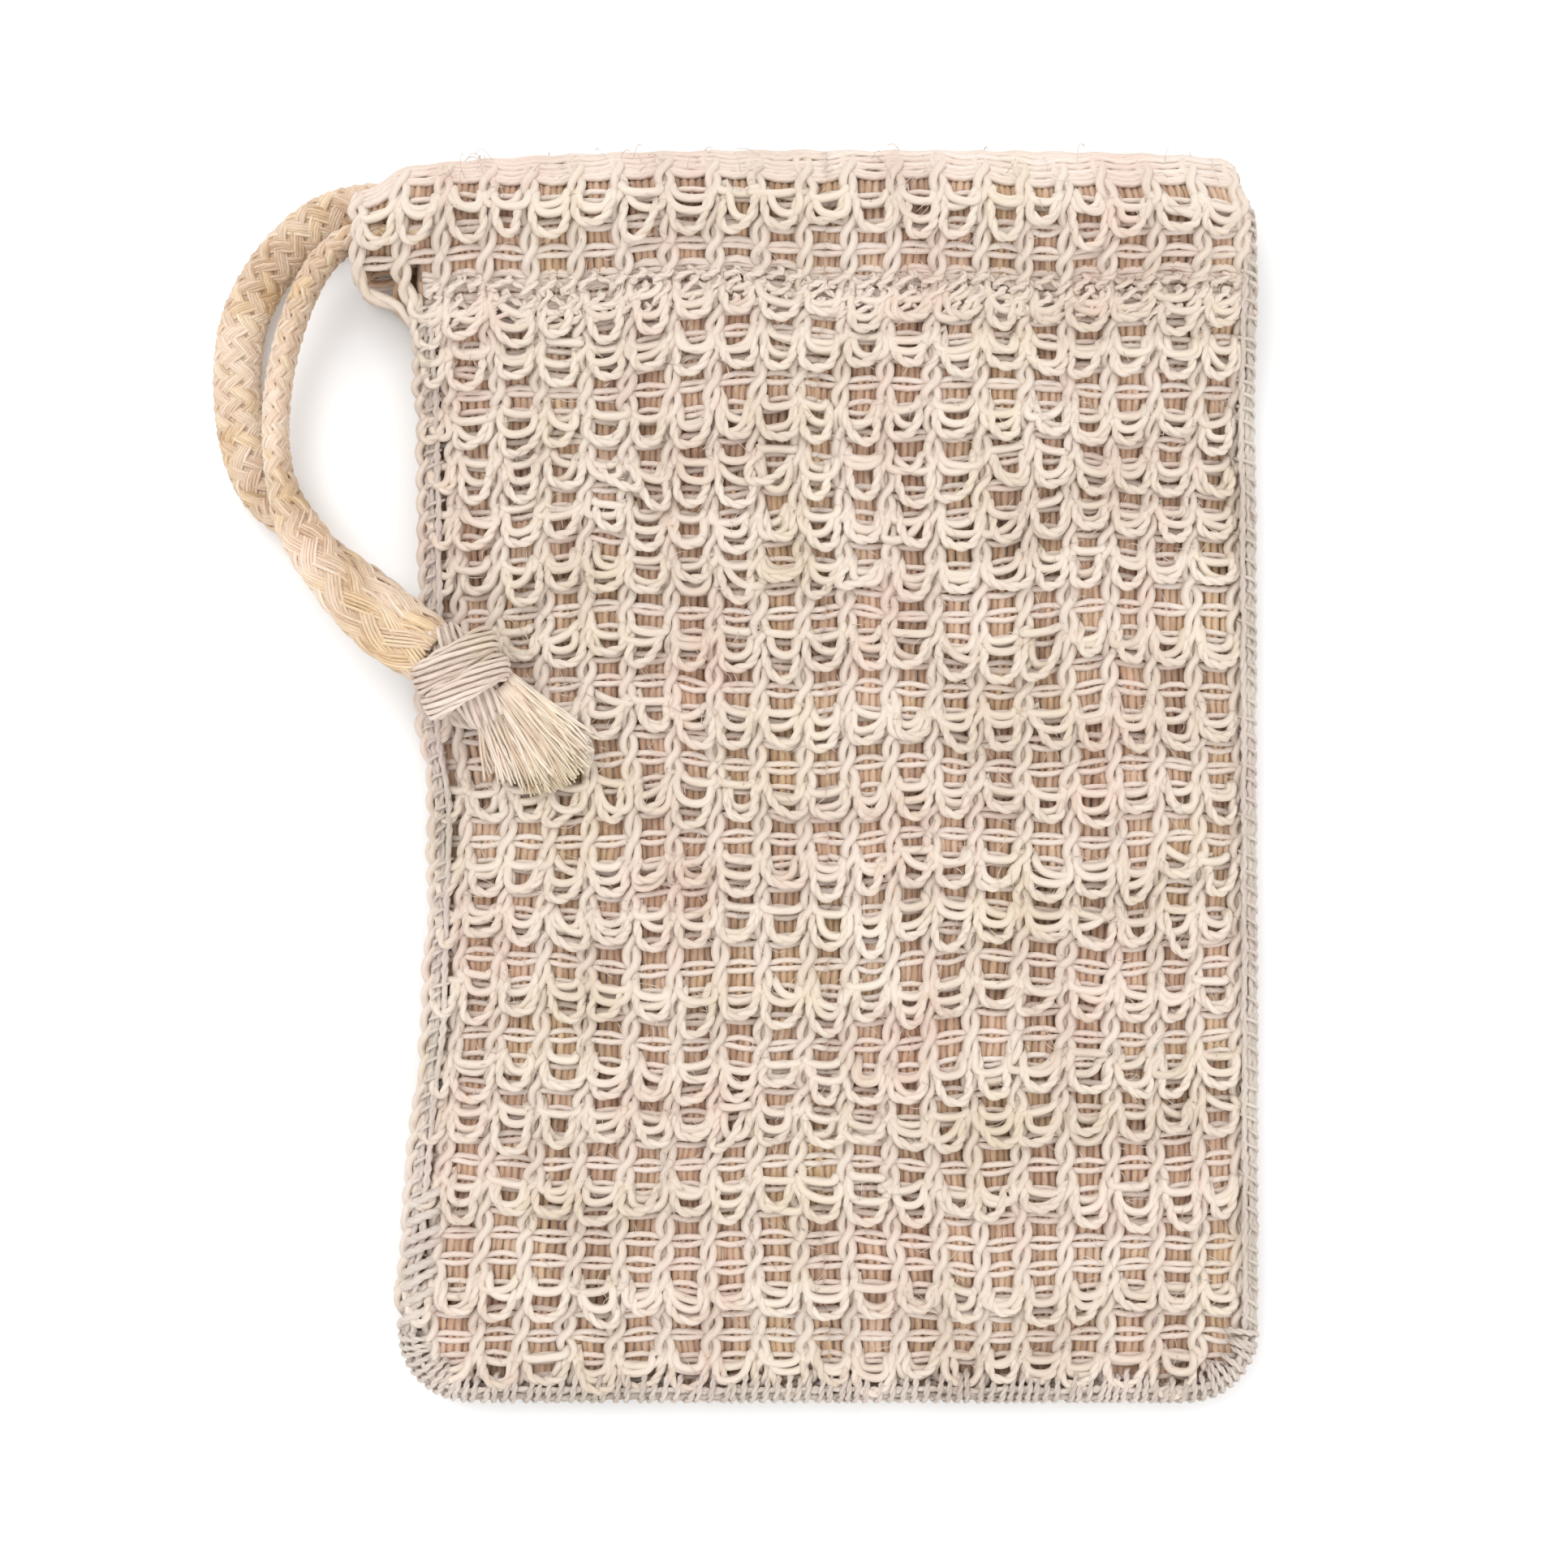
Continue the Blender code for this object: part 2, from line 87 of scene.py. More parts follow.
# The knit.
WALE_PITCH = 4.66
FIRST_WALE = 42.5  # the wale nearest the right seam
WALES = 20
MIDDLE_GAP = 9  # the gap between wales at the pouch's middle
COURSE = 2.66
WALE_YARN = 0.50  # radius
WALE_SWING = 0.57  # how far each strand of a chain swings from its middle
WALE_CROSS = 0.27  # how far it passes over and under the other strand
RUNG_YARN = 0.36
RUNG_SPREAD = 0.38  # half the distance between the two rungs of a course
LOOP_YARN = 0.36  # radius of one ply
LOOP_PLY = 0.19  # how far a ply lies from the loop yarn's middle
PLY_PITCH = 3.0
LOOP_STRANDS = ((3.3, 0.95), (1.9, 0.40), (0.7, 0.10))  # length and stand-off of a row's strands
CORE_YARN = 0.42
FIBRE = 0.045
# The brown yarns behind the openings, which paint the shade seen through them.
SHADE_LINING_YARN = 0.47
SHADE_LINING_PITCH = 0.74
EDGE_INSET = 0.35  # from the outline to the middle of the edge's outermost yarns
SIDE_INSET = 1.3  # from the outline to the ends of the rungs


# ---- small maths


def smooth(t):
    """A smooth step from 0 to 1."""
    t = np.clip(t, 0.0, 1.0)
    return t * t * (3 - 2 * t)


def unit(v):
    return v / np.maximum(np.linalg.norm(v, axis=-1, keepdims=True), 1e-9)


def make_waves(seed, shortest, longest, count=7):
    """Random plane waves, whose sum is a smooth noise of about -1 to 1."""
    r = np.random.default_rng(seed)
    length = shortest * (longest / shortest) ** r.random(count)
    heading = r.random(count) * 2 * math.pi
    vector = 2 * math.pi / length[:, None] * np.stack([np.cos(heading), np.sin(heading)], 1)
    return vector, r.random(count) * 2 * math.pi


def wave_noise(waves, x, y):
    vector, phase = waves
    total = sum(np.sin(v[0] * x + v[1] * y + p) for v, p in zip(vector, phase))
    return total / math.sqrt(len(phase))


def line_noise(r, shortest, longest, x, y, count=4):
    """A fresh smooth noise along one line."""
    return wave_noise(make_waves(int(r.integers(1 << 30)), shortest, longest, count), x, y)


# The unevenness of hand-made cloth: slow drift, quick wobble, swells, and blotches of colour.
DRIFT_X = make_waves(1, 22, 70)
DRIFT_Y = make_waves(2, 20, 60)
WOBBLE_X = make_waves(3, 5, 13)
WOBBLE_Y = make_waves(4, 5, 13)
SWELL = make_waves(5, 14, 40)
TONE_WAVES = make_waves(6, 6, 40, 9)
HUE_WAVES = make_waves(7, 5, 30, 9)


# ---- the cloth's surface


def edge_x(y, inset):
    """The half width of the pouch at y, with its round bottom corners, less an inset."""
    radius = CORNER_RADIUS - inset
    drop = np.clip(BOTTOM + CORNER_RADIUS - y, 0, radius)
    return HALF_WIDTH - CORNER_RADIUS + np.sqrt(radius * radius - drop * drop)


def rise(y):
    """How far the walls have risen to the hem's level at y, from 0 to 1."""
    return smooth((y - (HEM_BOTTOM - RISE_LENGTH)) / RISE_LENGTH)


def crown(x, y):
    """How far the front wall is lifted by the hollow between the walls."""
    across = np.maximum(0.0, 1 - (x / (HALF_WIDTH - 2.8)) ** 2)
    return CROWN * across * smooth((y - BOTTOM - 3.1) / CLOSE_LENGTH) * (1 - rise(y))


# Each wall's cross-section from the bottom edge, over the hem and down inside it, as (y, z).
FRONT_PROFILE = [
    (-65.8, 3.3), (-60, 3.8), (-50, 3.9), (-20, 3.9), (10, 3.9), (36, 3.9), (42, 5.0),
    (48, 7.6), (51.5, 9.2), (53.8, 9.9), (55.2, 11.0), (57.4, 11.9), (60.5, 12.2),
    (63.4, 11.8), (65.4, 10.9), (66.2, 9.8), (65.5, 8.6), (63.6, 7.8), (60, 7.6),
    (56.5, 7.7), (53.8, 8.3), (51, 7.2), (48.4, 5.9),
]
BACK_PROFILE = [
    (-65.8, 2.2), (-60, 1.9), (-50, 1.8), (-20, 1.8), (10, 1.8), (36, 1.8), (48, 1.8),
    (53.6, 2.0), (55.4, 1.6), (57.6, 1.2), (60.5, 1.1), (63.4, 1.2), (65.4, 2.0),
    (66.2, 3.2), (65.5, 4.4), (63.6, 5.2), (60, 5.5), (56.5, 5.2), (53.8, 4.4),
    (51, 3.6), (48.4, 3.3),
]


def catmull_rom(points, per_span=24):
    """A smooth curve through the points."""
    p = np.asarray(points, float)
    p = np.vstack([2 * p[0] - p[1], p, 2 * p[-1] - p[-2]])
    t = (np.arange(per_span) / per_span)[:, None]
    spans = []
    for a, b, c, d in zip(p, p[1:], p[2:], p[3:]):
        spans.append(
            0.5
            * (2 * b + (c - a) * t + (2 * a - 5 * b + 4 * c - d) * t**2)
            + 0.5 * (3 * b - a - 3 * c + d) * t**3
        )
    return np.vstack([*spans, p[-2][None]])


def distances(line):
    """How far along a line each of its points lies."""
    return np.concatenate([[0], np.cumsum(np.linalg.norm(np.diff(line, axis=0), axis=1))])


def spaced(line, step):
    """A line's points read again at an even spacing."""
    along = distances(line)
    at = np.linspace(0, along[-1], max(2, int(round(along[-1] / step)) + 1))
    return np.stack([np.interp(at, along, line[:, k]) for k in range(line.shape[1])], 1)


class Wall:
    """One wall of the pouch: turns places on the flat cloth into places in space."""

    def __init__(self, profile, outward, seed):
        line = spaced(catmull_rom(profile), 0.25)
        self.line = line
        self.s = line[0, 0] + distances(line)
        tangent = unit(np.gradient(line, axis=0))
        self.normal = outward * np.stack([-tangent[:, 1], tangent[:, 0]], 1)
        self.front = outward > 0
        self.fold = float(self.s[line[:, 0].argmax()])
        self.shift = seed * 137.0

    def s_at(self, y):
        """The length along the cloth at height y on the outer face."""
        outer = slice(self.line[:, 0].argmax() + 1)
        return float(np.interp(y, self.line[outer, 0], self.s[outer]))

    def s_inside(self, y):
        """The length along the cloth at height y on the turned-in face."""
        inner = slice(self.line[:, 0].argmax(), None)
        return float(np.interp(-y, -self.line[inner, 0], self.s[inner]))

    def place(self, u, s, h):
        """Points at u across and s along the cloth, h outward from its middle."""
        u, s, h = np.broadcast_arrays(*(np.asarray(v, float) for v in (u, s, h)))
        a, b = u + self.shift, s + self.shift
        hold = smooth((HALF_WIDTH + 1.5 - np.abs(u)) / 9)  # the seams hold the sides straight
        x = u + 0.55 * wave_noise(DRIFT_X, a, b) * hold
        x = x + 0.13 * wave_noise(WOBBLE_X, a, b)
        t = s + 0.50 * wave_noise(DRIFT_Y, a, b) * smooth((s - self.s[0]) / 12)
        t = t + 0.16 * wave_noise(WOBBLE_Y, a, b)
        y, z = (np.interp(t, self.s, self.line[:, k]) for k in (0, 1))
        ny, nz = (np.interp(t, self.s, self.normal[:, k]) for k in (0, 1))
        if self.front:
            z = z + crown(x, y)
            z = z + 0.35 * wave_noise(SWELL, a, b) * smooth((y - BOTTOM) / 20) * (1 - rise(y))
        # The wall draws in to the side seams, and the hem to its closed right end.
        seamed = smooth((np.abs(x) - HALF_WIDTH + 6) / 6) * (1 - rise(y))
        z = z + (EDGE_THICK / 2 - z) * 0.42 * seamed
        z = z + nz * h
        closed = smooth((x - TURN_LOW[0] + 1) / 9) * rise(y)
        z = z + (HEM_MIDDLE - z) * 0.45 * closed
        return bend_outline(x, y + ny * h, np.maximum(z, 0.3))

    def inside(self, s):
        """How far a place on the cloth is inside the hem, from 0 to 1."""
        return smooth((s - self.fold - 1.5) / 4)


# How far the outline stands off a true rectangle at a height y: (y, outwards).
LEFT_OUTLINE = [
    (-68, 2.9), (-58, 2.7), (-40, 1.2), (-25, -0.4), (-10, -0.9), (-1, -0.8), (6, 0.3), (13, 0.2),
    (22, 0.0), (34, 0.2), (50, 0.5), (68, 0.5),
]
RIGHT_OUTLINE = [(-68, 0.1), (-30, 0.15), (0, 0.0), (25, -0.05), (45, -0.3), (68, -0.8)]


def curve(knots):
    """A smooth curve through the knots, read by its first coordinate."""
    line = catmull_rom(knots)
    return lambda y: np.interp(y, line[:, 0], line[:, 1])


LEFT_SHIFT, RIGHT_SHIFT = curve(LEFT_OUTLINE), curve(RIGHT_OUTLINE)


def bend_outline(x, y, z):
    """The pouch's plan isn't a true rectangle: it widens a little towards the bottom."""
    left, right = smooth(-x / HALF_WIDTH), smooth(x / HALF_WIDTH)
    top = smooth((y - 30) / 36)
    x = x - LEFT_SHIFT(y) * left + RIGHT_SHIFT(y) * right
    # The top right corner is rounded, and the mouth's edge droops towards both sides.
    x = x - 1.5 * right * smooth((y - 60.5) / 5.5)
    y = y - 1.7 * top * (np.clip(-x - 10, 0, None) / 38) ** 2
    y = y - 2.4 * smooth((-x - 45.0) / 6) * smooth((y - 57) / 8)
    y = y - 2.2 * smooth((x - 39.5) / 5) * smooth((y - 58) / 8)
    y = y - 0.8 * top * (np.clip(x - 5, 0, None) / 40) ** 2
    return np.stack([x, y, z], -1)


# ---- yarns


def turned_frames(lines):
    """Two directions across each line, which turn with it without twisting."""
    tangent = unit(np.gradient(lines, axis=1))
    across = np.empty_like(tangent)
    start = np.cross(tangent[:, 0], [0.0, 0.0, 1.0])
    weak = np.linalg.norm(start, axis=1) < 0.2
    start[weak] = np.cross(tangent[weak, 0], [1.0, 0.0, 0.0])
    across[:, 0] = unit(start)
    for m in range(1, lines.shape[1]):
        prior, t = across[:, m - 1], tangent[:, m]
        across[:, m] = unit(prior - (prior * t).sum(1, keepdims=True) * t)
    return across, np.cross(tangent, across)


class Yarns:
    """Collects yarns as tubes, with what their material reads at each point."""

    def __init__(self, seed):
        self.points, self.yarn, self.look = [], [], []
        self.quads, self.caps = [], []
        self.count = 0
        self.random = np.random.default_rng(seed)

    def add(self, lines, radius, sides=5, inner=0.0, hue=0.5, spread=0.16):
        """Tubes along lines, (n, m, 3) or (m, 3) in millimetres, with one radius or (n, m).

        inner is how far the yarn lies inside the hem, where the material darkens it as painted
        shade; hue is read by the material, and spread is how much the yarns differ in tone.
        """
        lines = np.asarray(lines, float)
        if lines.ndim == 2:
            lines = lines[None]
        n, m = lines.shape[:2]
        radius = np.broadcast_to(np.asarray(radius, float), (n, m))
        a, b = turned_frames(lines)
        turn = np.arange(sides) * 2 * math.pi / sides
        cos, sin = np.cos(turn), np.sin(turn)
        ring = a[:, :, None] * cos[:, None] + b[:, :, None] * sin[:, None]
        points = lines[:, :, None] + radius[:, :, None, None] * ring
        along = np.array([distances(line) for line in lines]) + self.random.random((n, 1)) * 40
        around = [radius[:, :, None] * cos, radius[:, :, None] * sin]
        yarn = np.stack(np.broadcast_arrays(along[:, :, None], *around), -1)
        tone = 0.5 + 0.2 * wave_noise(TONE_WAVES, lines[..., 0], lines[..., 1])
        tone = tone + spread * self.random.standard_normal((n, 1))
        tint = hue + 0.2 * wave_noise(HUE_WAVES, lines[..., 0], lines[..., 1])
        look = np.stack(np.broadcast_arrays(tone, tint, inner), -1)[:, :, None].repeat(sides, 2)
        base = self.count + np.arange(n)[:, None] * m * sides
        row = base[:, :, None] + (np.arange(m - 1) * sides)[None, :, None]
        k = np.arange(sides)
        ahead = (k + 1) % sides
        quads = np.stack([row + k, row + ahead, row + sides + ahead, row + sides + k], -1)
        self.quads.append(quads.reshape(-1, 4))
        self.caps += [base + k[::-1], base + (m - 1) * sides + k]
        self.points.append(points.reshape(-1, 3))
        self.yarn.append(yarn.reshape(-1, 3))
        self.look.append(look.reshape(-1, 3))
        self.count += n * m * sides


def make_piece(name, *layers):
    """One piece of several layers of yarns, each with its own material, linked to the scene."""
    mesh = bpy.data.meshes.new(name)
    points, loops, sizes, finishes = [], [], [], []
    count = 0
    for n, (yarns, finish) in enumerate(layers):
        mesh.materials.append(finish)
        points += yarns.points
        for faces in (*yarns.quads, *yarns.caps):
            loops.append(faces.ravel() + count)
            sizes.append(np.full(len(faces), faces.shape[1]))
            finishes.append(np.full(len(faces), n))
        count += yarns.count
    points, loops, sizes = np.vstack(points) * MM, np.concatenate(loops), np.concatenate(sizes)
    mesh.vertices.add(len(points))
    mesh.vertices.foreach_set("co", points.astype(np.float32).ravel())
    mesh.loops.add(len(loops))
    mesh.polygons.add(len(sizes))
    for items, label, data in (
        (mesh.loops, "vertex_index", loops),
        (mesh.polygons, "loop_start", np.concatenate([[0], np.cumsum(sizes)[:-1]])),
        (mesh.polygons, "loop_total", sizes),
        (mesh.polygons, "material_index", np.concatenate(finishes)),
    ):
        items.foreach_set(label, data.astype(np.int32))
    for label in ("yarn", "look"):
        data = np.vstack([part for yarns, _ in layers for part in getattr(yarns, label)])
        attribute = mesh.attributes.new(label, "FLOAT_VECTOR", "POINT")
        attribute.data.foreach_set("vector", data.astype(np.float32).ravel())
    mesh.update(calc_edges=True)
    mesh.validate()
    mesh.shade_smooth()
    made = bpy.data.objects.new(name, mesh)
    bpy.context.scene.collection.objects.link(made)
    return made


def plied(line, offset, pitch, plies=2, phase=0.0):
    """The plies of a twisted yarn, as lines around its middle line."""
    line = np.asarray(line, float)
    a, b = turned_frames(line[None])
    along = distances(line)
    made = []
    for n in range(plies):
        turn = 2 * math.pi * (along / pitch + n / plies) + phase
        made.append(line + offset * (np.cos(turn)[:, None] * a[0] + np.sin(turn)[:, None] * b[0]))
    return np.array(made)


# ---- materials


class Shader:
    """A short way to write a node tree."""

    def __init__(self, name, roughness):
        self.material = bpy.data.materials.new(name)
        self.material.use_nodes = True
        self.tree = self.material.node_tree
        self.shader = self.tree.nodes["Principled BSDF"]
        self.shader.inputs["Roughness"].default_value = roughness

    def link(self, output, target):
        self.tree.links.new(output, target)

    def node(self, kind, values, **settings):
        """A node whose inputs are numbers, vectors, colours or other nodes' outputs."""
        made = self.tree.nodes.new(kind)
        for key, value in settings.items():
            setattr(made, key, value)
        for key, value in values.items():
            socket = made.inputs[key]
            if isinstance(value, bpy.types.NodeSocket):
                self.link(value, socket)
            elif socket.type == "RGBA":
                socket.default_value = (*value, 1)
            else:
                socket.default_value = value
        return made

    def attribute(self, name):
        return self.node("ShaderNodeAttribute", {}, attribute_name=name).outputs["Vector"]

    def split(self, vector):
        return self.node("ShaderNodeSeparateXYZ", {0: vector}).outputs

    def math(self, operation, *values):
        node = self.node("ShaderNodeMath", dict(enumerate(values)), operation=operation)
        return node.outputs[0]

    def plus(self, value, other, times):
        """value + other × times"""
        return self.math("ADD", value, self.math("MULTIPLY", other, times))

    def scaled(self, vector, scale):
        node = self.node("ShaderNodeVectorMath", {0: vector, 1: scale}, operation="MULTIPLY")
        return node.outputs[0]

    def noise(self, vector, scale, detail):
        values = {"Vector": vector, "Scale": scale, "Detail": detail}
        return self.node("ShaderNodeTexNoise", values).outputs["Fac"]

    def ramp(self, value, stops):
        node = self.node("ShaderNodeValToRGB", {"Fac": value})
        elements = node.color_ramp.elements
        while len(elements) < len(stops):
            elements.new(0.5)
        for element, (at, colour) in zip(elements, stops):
            element.position = at
            element.color = (*colour, 1)
        return node.outputs["Color"]

    def times(self, a, b, amount=1.0):
        """Colour a multiplied by colour b, by some amount."""
        values = {0: amount, 6: a, 7: b}
        node = self.node("ShaderNodeMix", values, data_type="RGBA", blend_type="MULTIPLY")
        return node.outputs[2]

    def bump(self, height, strength, distance):
        values = {"Strength": strength, "Distance": distance, "Height": height}
        node = self.node("ShaderNodeBump", values)
        self.link(node.outputs["Normal"], self.shader.inputs["Normal"])


# Painted shade: the colour of yarn inside the hem is darkened by this tint, for the shadow in
# there.
HEM_SHADE_TINT = (0.80, 0.64, 0.50)  # multiplies the colour of yarn inside the hem


def yarn_material(name, dark, plain, light, pink, yellow, pitch=2.2):
    """Spun cotton: streaks of fibre along the yarn, two plies wound round it, and blotches."""
    s = Shader(name, 0.92)
    yarn = s.attribute("yarn")
    along, across, over = s.split(yarn)
    own_tone, own_hue, inside = s.split(s.attribute("look"))
    fibres = s.noise(s.scaled(yarn, (1.6, 11.0, 11.0)), 1.0, 3.0)
    lumps = s.noise(s.scaled(yarn, (0.5, 0.6, 0.6)), 1.0, 2.0)
    angle = s.math("ARCTAN2", over, across)
    ply = s.math("SINE", s.plus(s.math("MULTIPLY", angle, 2), along, 2 * math.pi / pitch))
    tone = s.plus(own_tone, s.math("SUBTRACT", fibres, 0.5), 0.7)
    tone = s.plus(s.plus(tone, ply, 0.07), s.math("SUBTRACT", lumps, 0.5), 0.5)
    colour = s.ramp(tone, [(0.05, dark), (0.5, plain), (0.95, light)])
    tinted = s.ramp(own_hue, [(0.15, pink), (0.5, (1.0, 1.0, 1.0)), (0.85, yellow)])
    # Yarn inside the hem is darkened by the tint: painted shade.
    colour = s.times(s.times(colour, tinted), HEM_SHADE_TINT, inside)
    s.link(colour, s.shader.inputs["Base Color"])
    s.bump(s.plus(fibres, ply, 0.35), 0.55, 0.00012)
    s.shader.inputs["Sheen Weight"].default_value = 0.25
    s.shader.inputs["Sheen Roughness"].default_value = 0.5
    s.shader.inputs["Specular IOR Level"].default_value = 0.2
    return s.material


def floor_material():
    s = Shader("white_table", 0.7)
    place = s.node("ShaderNodeTexCoord", {}).outputs["Object"]
    faint = s.noise(place, 30.0, 3.0)
    colour = s.ramp(faint, [(0.3, (0.90, 0.90, 0.90)), (0.7, (0.93, 0.93, 0.93))])
    s.link(colour, s.shader.inputs["Base Color"])
    return s.material


CREAM_PINK = (1.0, 0.94, 0.93)
CREAM_YELLOW = (1.0, 0.995, 0.94)
COTTON = yarn_material(
    "knit_cotton_yarn", (0.625, 0.515, 0.43), (0.69, 0.59, 0.505), (0.72, 0.63, 0.555),
    CREAM_PINK, CREAM_YELLOW,
)
RUNG_COTTON = yarn_material(
    "rung_cotton_yarn", (0.67, 0.55, 0.47), (0.72, 0.61, 0.53), (0.75, 0.66, 0.59),
    (1.0, 0.96, 0.955), (1.0, 0.995, 0.95), pitch=1.2,
)
LOOP_COTTON = yarn_material(
    "terry_loop_yarn", (0.63, 0.525, 0.43), (0.69, 0.592, 0.50), (0.73, 0.642, 0.555),
    CREAM_PINK, CREAM_YELLOW,
)
# The edge yarns are greyer than the walls' yarns, to paint the shade on edges that face sideways:
# painted shade.
SHADED_EDGE_COTTON = yarn_material(
    "edge_yarn_painted_shade", (0.47, 0.39, 0.33), (0.57, 0.49, 0.43), (0.66, 0.58, 0.51),
    (0.97, 0.93, 0.96), (0.97, 1.0, 0.97),
)
# Brown yarns put behind the openings where there is only shade: their colour is painted shade.
SHADE_LINING_COTTON = yarn_material(
    "lining_yarn_painted_shade", (0.37, 0.235, 0.16), (0.53, 0.36, 0.25), (0.66, 0.48, 0.35),
    (1.0, 0.93, 0.90), (1.0, 1.0, 0.85),
)
BRAID = yarn_material(
    "cord_braid_yarn", (0.47, 0.32, 0.20), (0.68, 0.53, 0.40), (0.79, 0.67, 0.55),
    (1.0, 0.93, 0.90), (1.0, 0.94, 0.78),
)
KNOT_COTTON = yarn_material(
    "knot_cotton_yarn", (0.48, 0.37, 0.30), (0.67, 0.555, 0.47), (0.77, 0.67, 0.585),
    (1.0, 0.94, 0.94), (1.0, 1.0, 0.90),
)
FRAY = yarn_material(
    "frayed_cotton", (0.62, 0.48, 0.35), (0.80, 0.68, 0.55), (0.88, 0.79, 0.68),
    (1.0, 0.95, 0.93), (1.0, 1.0, 0.90), pitch=6.0,
)


# ---- the knitted walls

FRONT = Wall(FRONT_PROFILE, 1, 1)
BACK = Wall(BACK_PROFILE, -1, 2)


FLARE_START = HEM_BOTTOM - 5  # the hem's left end flares out above this
FLARE_LENGTH = 5.5
LAST_WALE_IN = 1.6  # how far the last full wale stays clear of the left seam


def wale_u(n, s, wall):
    """Where wale n runs at s along the cloth. The last one runs only in the hem, and flares."""
    up = smooth((s - wall.s_at(FLARE_START)) / FLARE_LENGTH)
    if n == WALES:
        return 0.6 - HALF_WIDTH + (HEM_LEFT + 0.6 + HALF_WIDTH) * up
    inward = LAST_WALE_IN if n == WALES - 1 else 0.0
    return FIRST_WALE - WALE_PITCH * n + inward * (1 - up)


def wales_between(sides):
    """The wales that run between two sides."""
    left, right = sides
    return [n for n in range(WALES + 1) if left <= FIRST_WALE - WALE_PITCH * n < right]


def past_corner(u):
    """How far u lies past the centre of the round bottom corner, negative if it's short of it."""
    return abs(u) - (HALF_WIDTH - CORNER_RADIUS)


def corner_rise(inset):
    """How far the cloth's round corner lies above the bottom edge, where it starts."""
    return CORNER_RADIUS - math.sqrt(max((CORNER_RADIUS - 1.4) ** 2 - inset**2, 0.0))


def course_places(wall):
    """Where the courses lie along the cloth, up to the end of the hem's turn-in."""
    count = int((wall.s[-1] - wall.s[0] - 1.0) / COURSE)
    return wall.s[0] + 1.2 + COURSE * np.arange(count)


def at_fold(wall, s):
    """How near a place on the cloth is to the hem's fold, from 0 to 1."""
    return np.exp(-(((s - wall.fold) / 2.4) ** 2))


def wale_lines(wall, n, seed, detail):
    """The two crossing strands of one chain of stitches."""
    courses = course_places(wall)
    start, end = courses[0], courses[-1]
    inset = past_corner(FIRST_WALE - WALE_PITCH * n)
    if n == WALES:
        start = wall.s_at(FLARE_START)
        end = wall.s_inside(HEM_BOTTOM)
    elif inset > 0:
        start += corner_rise(inset)
    s = np.arange(start, end, COURSE / detail)
    r = np.random.default_rng(seed)
    turn = math.pi * (s - courses[0]) / COURSE
    stitch = np.floor((s - courses[0]) / COURSE).astype(int)
    width = 1 + 0.13 * r.standard_normal(stitch.max() + 2)[stitch]
    lean = np.interp(s, courses, 0.14 * r.standard_normal(len(courses)))
    swing = np.sign(np.sin(turn)) * np.abs(np.sin(turn)) ** 0.8 * WALE_SWING * width
    middle = wale_u(n, s, wall) + lean
    near = at_fold(wall, s)
    height = 0.12 - 0.40 * near
    cross = WALE_CROSS * np.cos(turn) * (1 - 0.6 * near)
    lines = [wall.place(middle + side * swing, s, height + side * cross) for side in (1, -1)]
    return np.array(lines), wall.inside(s)


def wale_cores(wall, sides, seed):
    """A soft yarn behind each chain, which fills the eyes of its stitches."""
    start, end = wall.s[0] + 2.5, wall.fold
    yarns = Yarns(seed)
    for n in wales_between(sides):
        if n < WALES:
            inset = past_corner(FIRST_WALE - WALE_PITCH * n)
            s = np.arange(start + max(inset, 0.0), end, 0.9)
            line = wall.place(wale_u(n, s, wall), s, -CORE_YARN)
            yarns.add(line, CORE_YARN, 6, spread=0.05)
    return yarns


def rung_lines(wall, s, left, right, r):
    """The pair of thin yarns that crosses all wales at one course."""
    u = np.linspace(left, right, int((right - left) / 1.05) + 2)
    pair = []
    between = np.cos(2 * math.pi * (u - FIRST_WALE) / WALE_PITCH)
    for side in (1, -1):
        gap = side * RUNG_SPREAD * (1 - 0.3 * between)
        sag = 0.10 * line_noise(r, 4, 16, u, 0 * u)
        height = -0.34 + 0.10 * between + 0.40 * at_fold(wall, s)
        pair.append(wall.place(u, s + gap + sag, height))
    return np.array(pair)


def ground(wall, sides, seed, detail):
    """The ground knit between two sides: its wales, and its rungs."""
    wales, rungs = Yarns(seed), Yarns(seed + 1)
    for n in wales_between(sides):
        lines, inner = wale_lines(wall, n, seed * 100 + n, detail)
        wales.add(lines, WALE_YARN, 5, inner=inner, spread=0.05)
    add_rungs(rungs, wall, sides, course_places(wall), seed + 5)
    return wales, rungs


def add_rungs(rungs, wall, sides, places, seed):
    """Rungs between two sides, at places along the cloth."""
    left, right = sides
    r = np.random.default_rng(seed)
    hem = wall.s_at(HEM_BOTTOM)
    for s in places:
        reach = min(float(edge_x(min(s, TOP), SIDE_INSET)), HALF_WIDTH - SIDE_INSET)
        low = max(left, -reach)
        height = float(np.interp(s, wall.s, wall.line[:, 0]))
        if s > hem and left < -HALF_WIDTH + 1 and height > HEM_BOTTOM + 0.3:
            low = HEM_LEFT + 1.0
        high = min(right, reach)
        inner = float(wall.inside(s))
        rungs.add(rung_lines(wall, s, low, high, r), RUNG_YARN, 5, inner=inner, hue=0.42)


def hem_rungs(wall, sides, seed):
    """The close rungs in the stitched band and round the hem's fold."""
    rungs = Yarns(seed)
    band = [wall.s_at(y) for y in (49.6, 51.0, 52.4, 53.7)]
    fold = [wall.fold + 0.7 * step for step in range(-4, 3)]
    add_rungs(rungs, wall, sides, band + fold, seed)
    return rungs


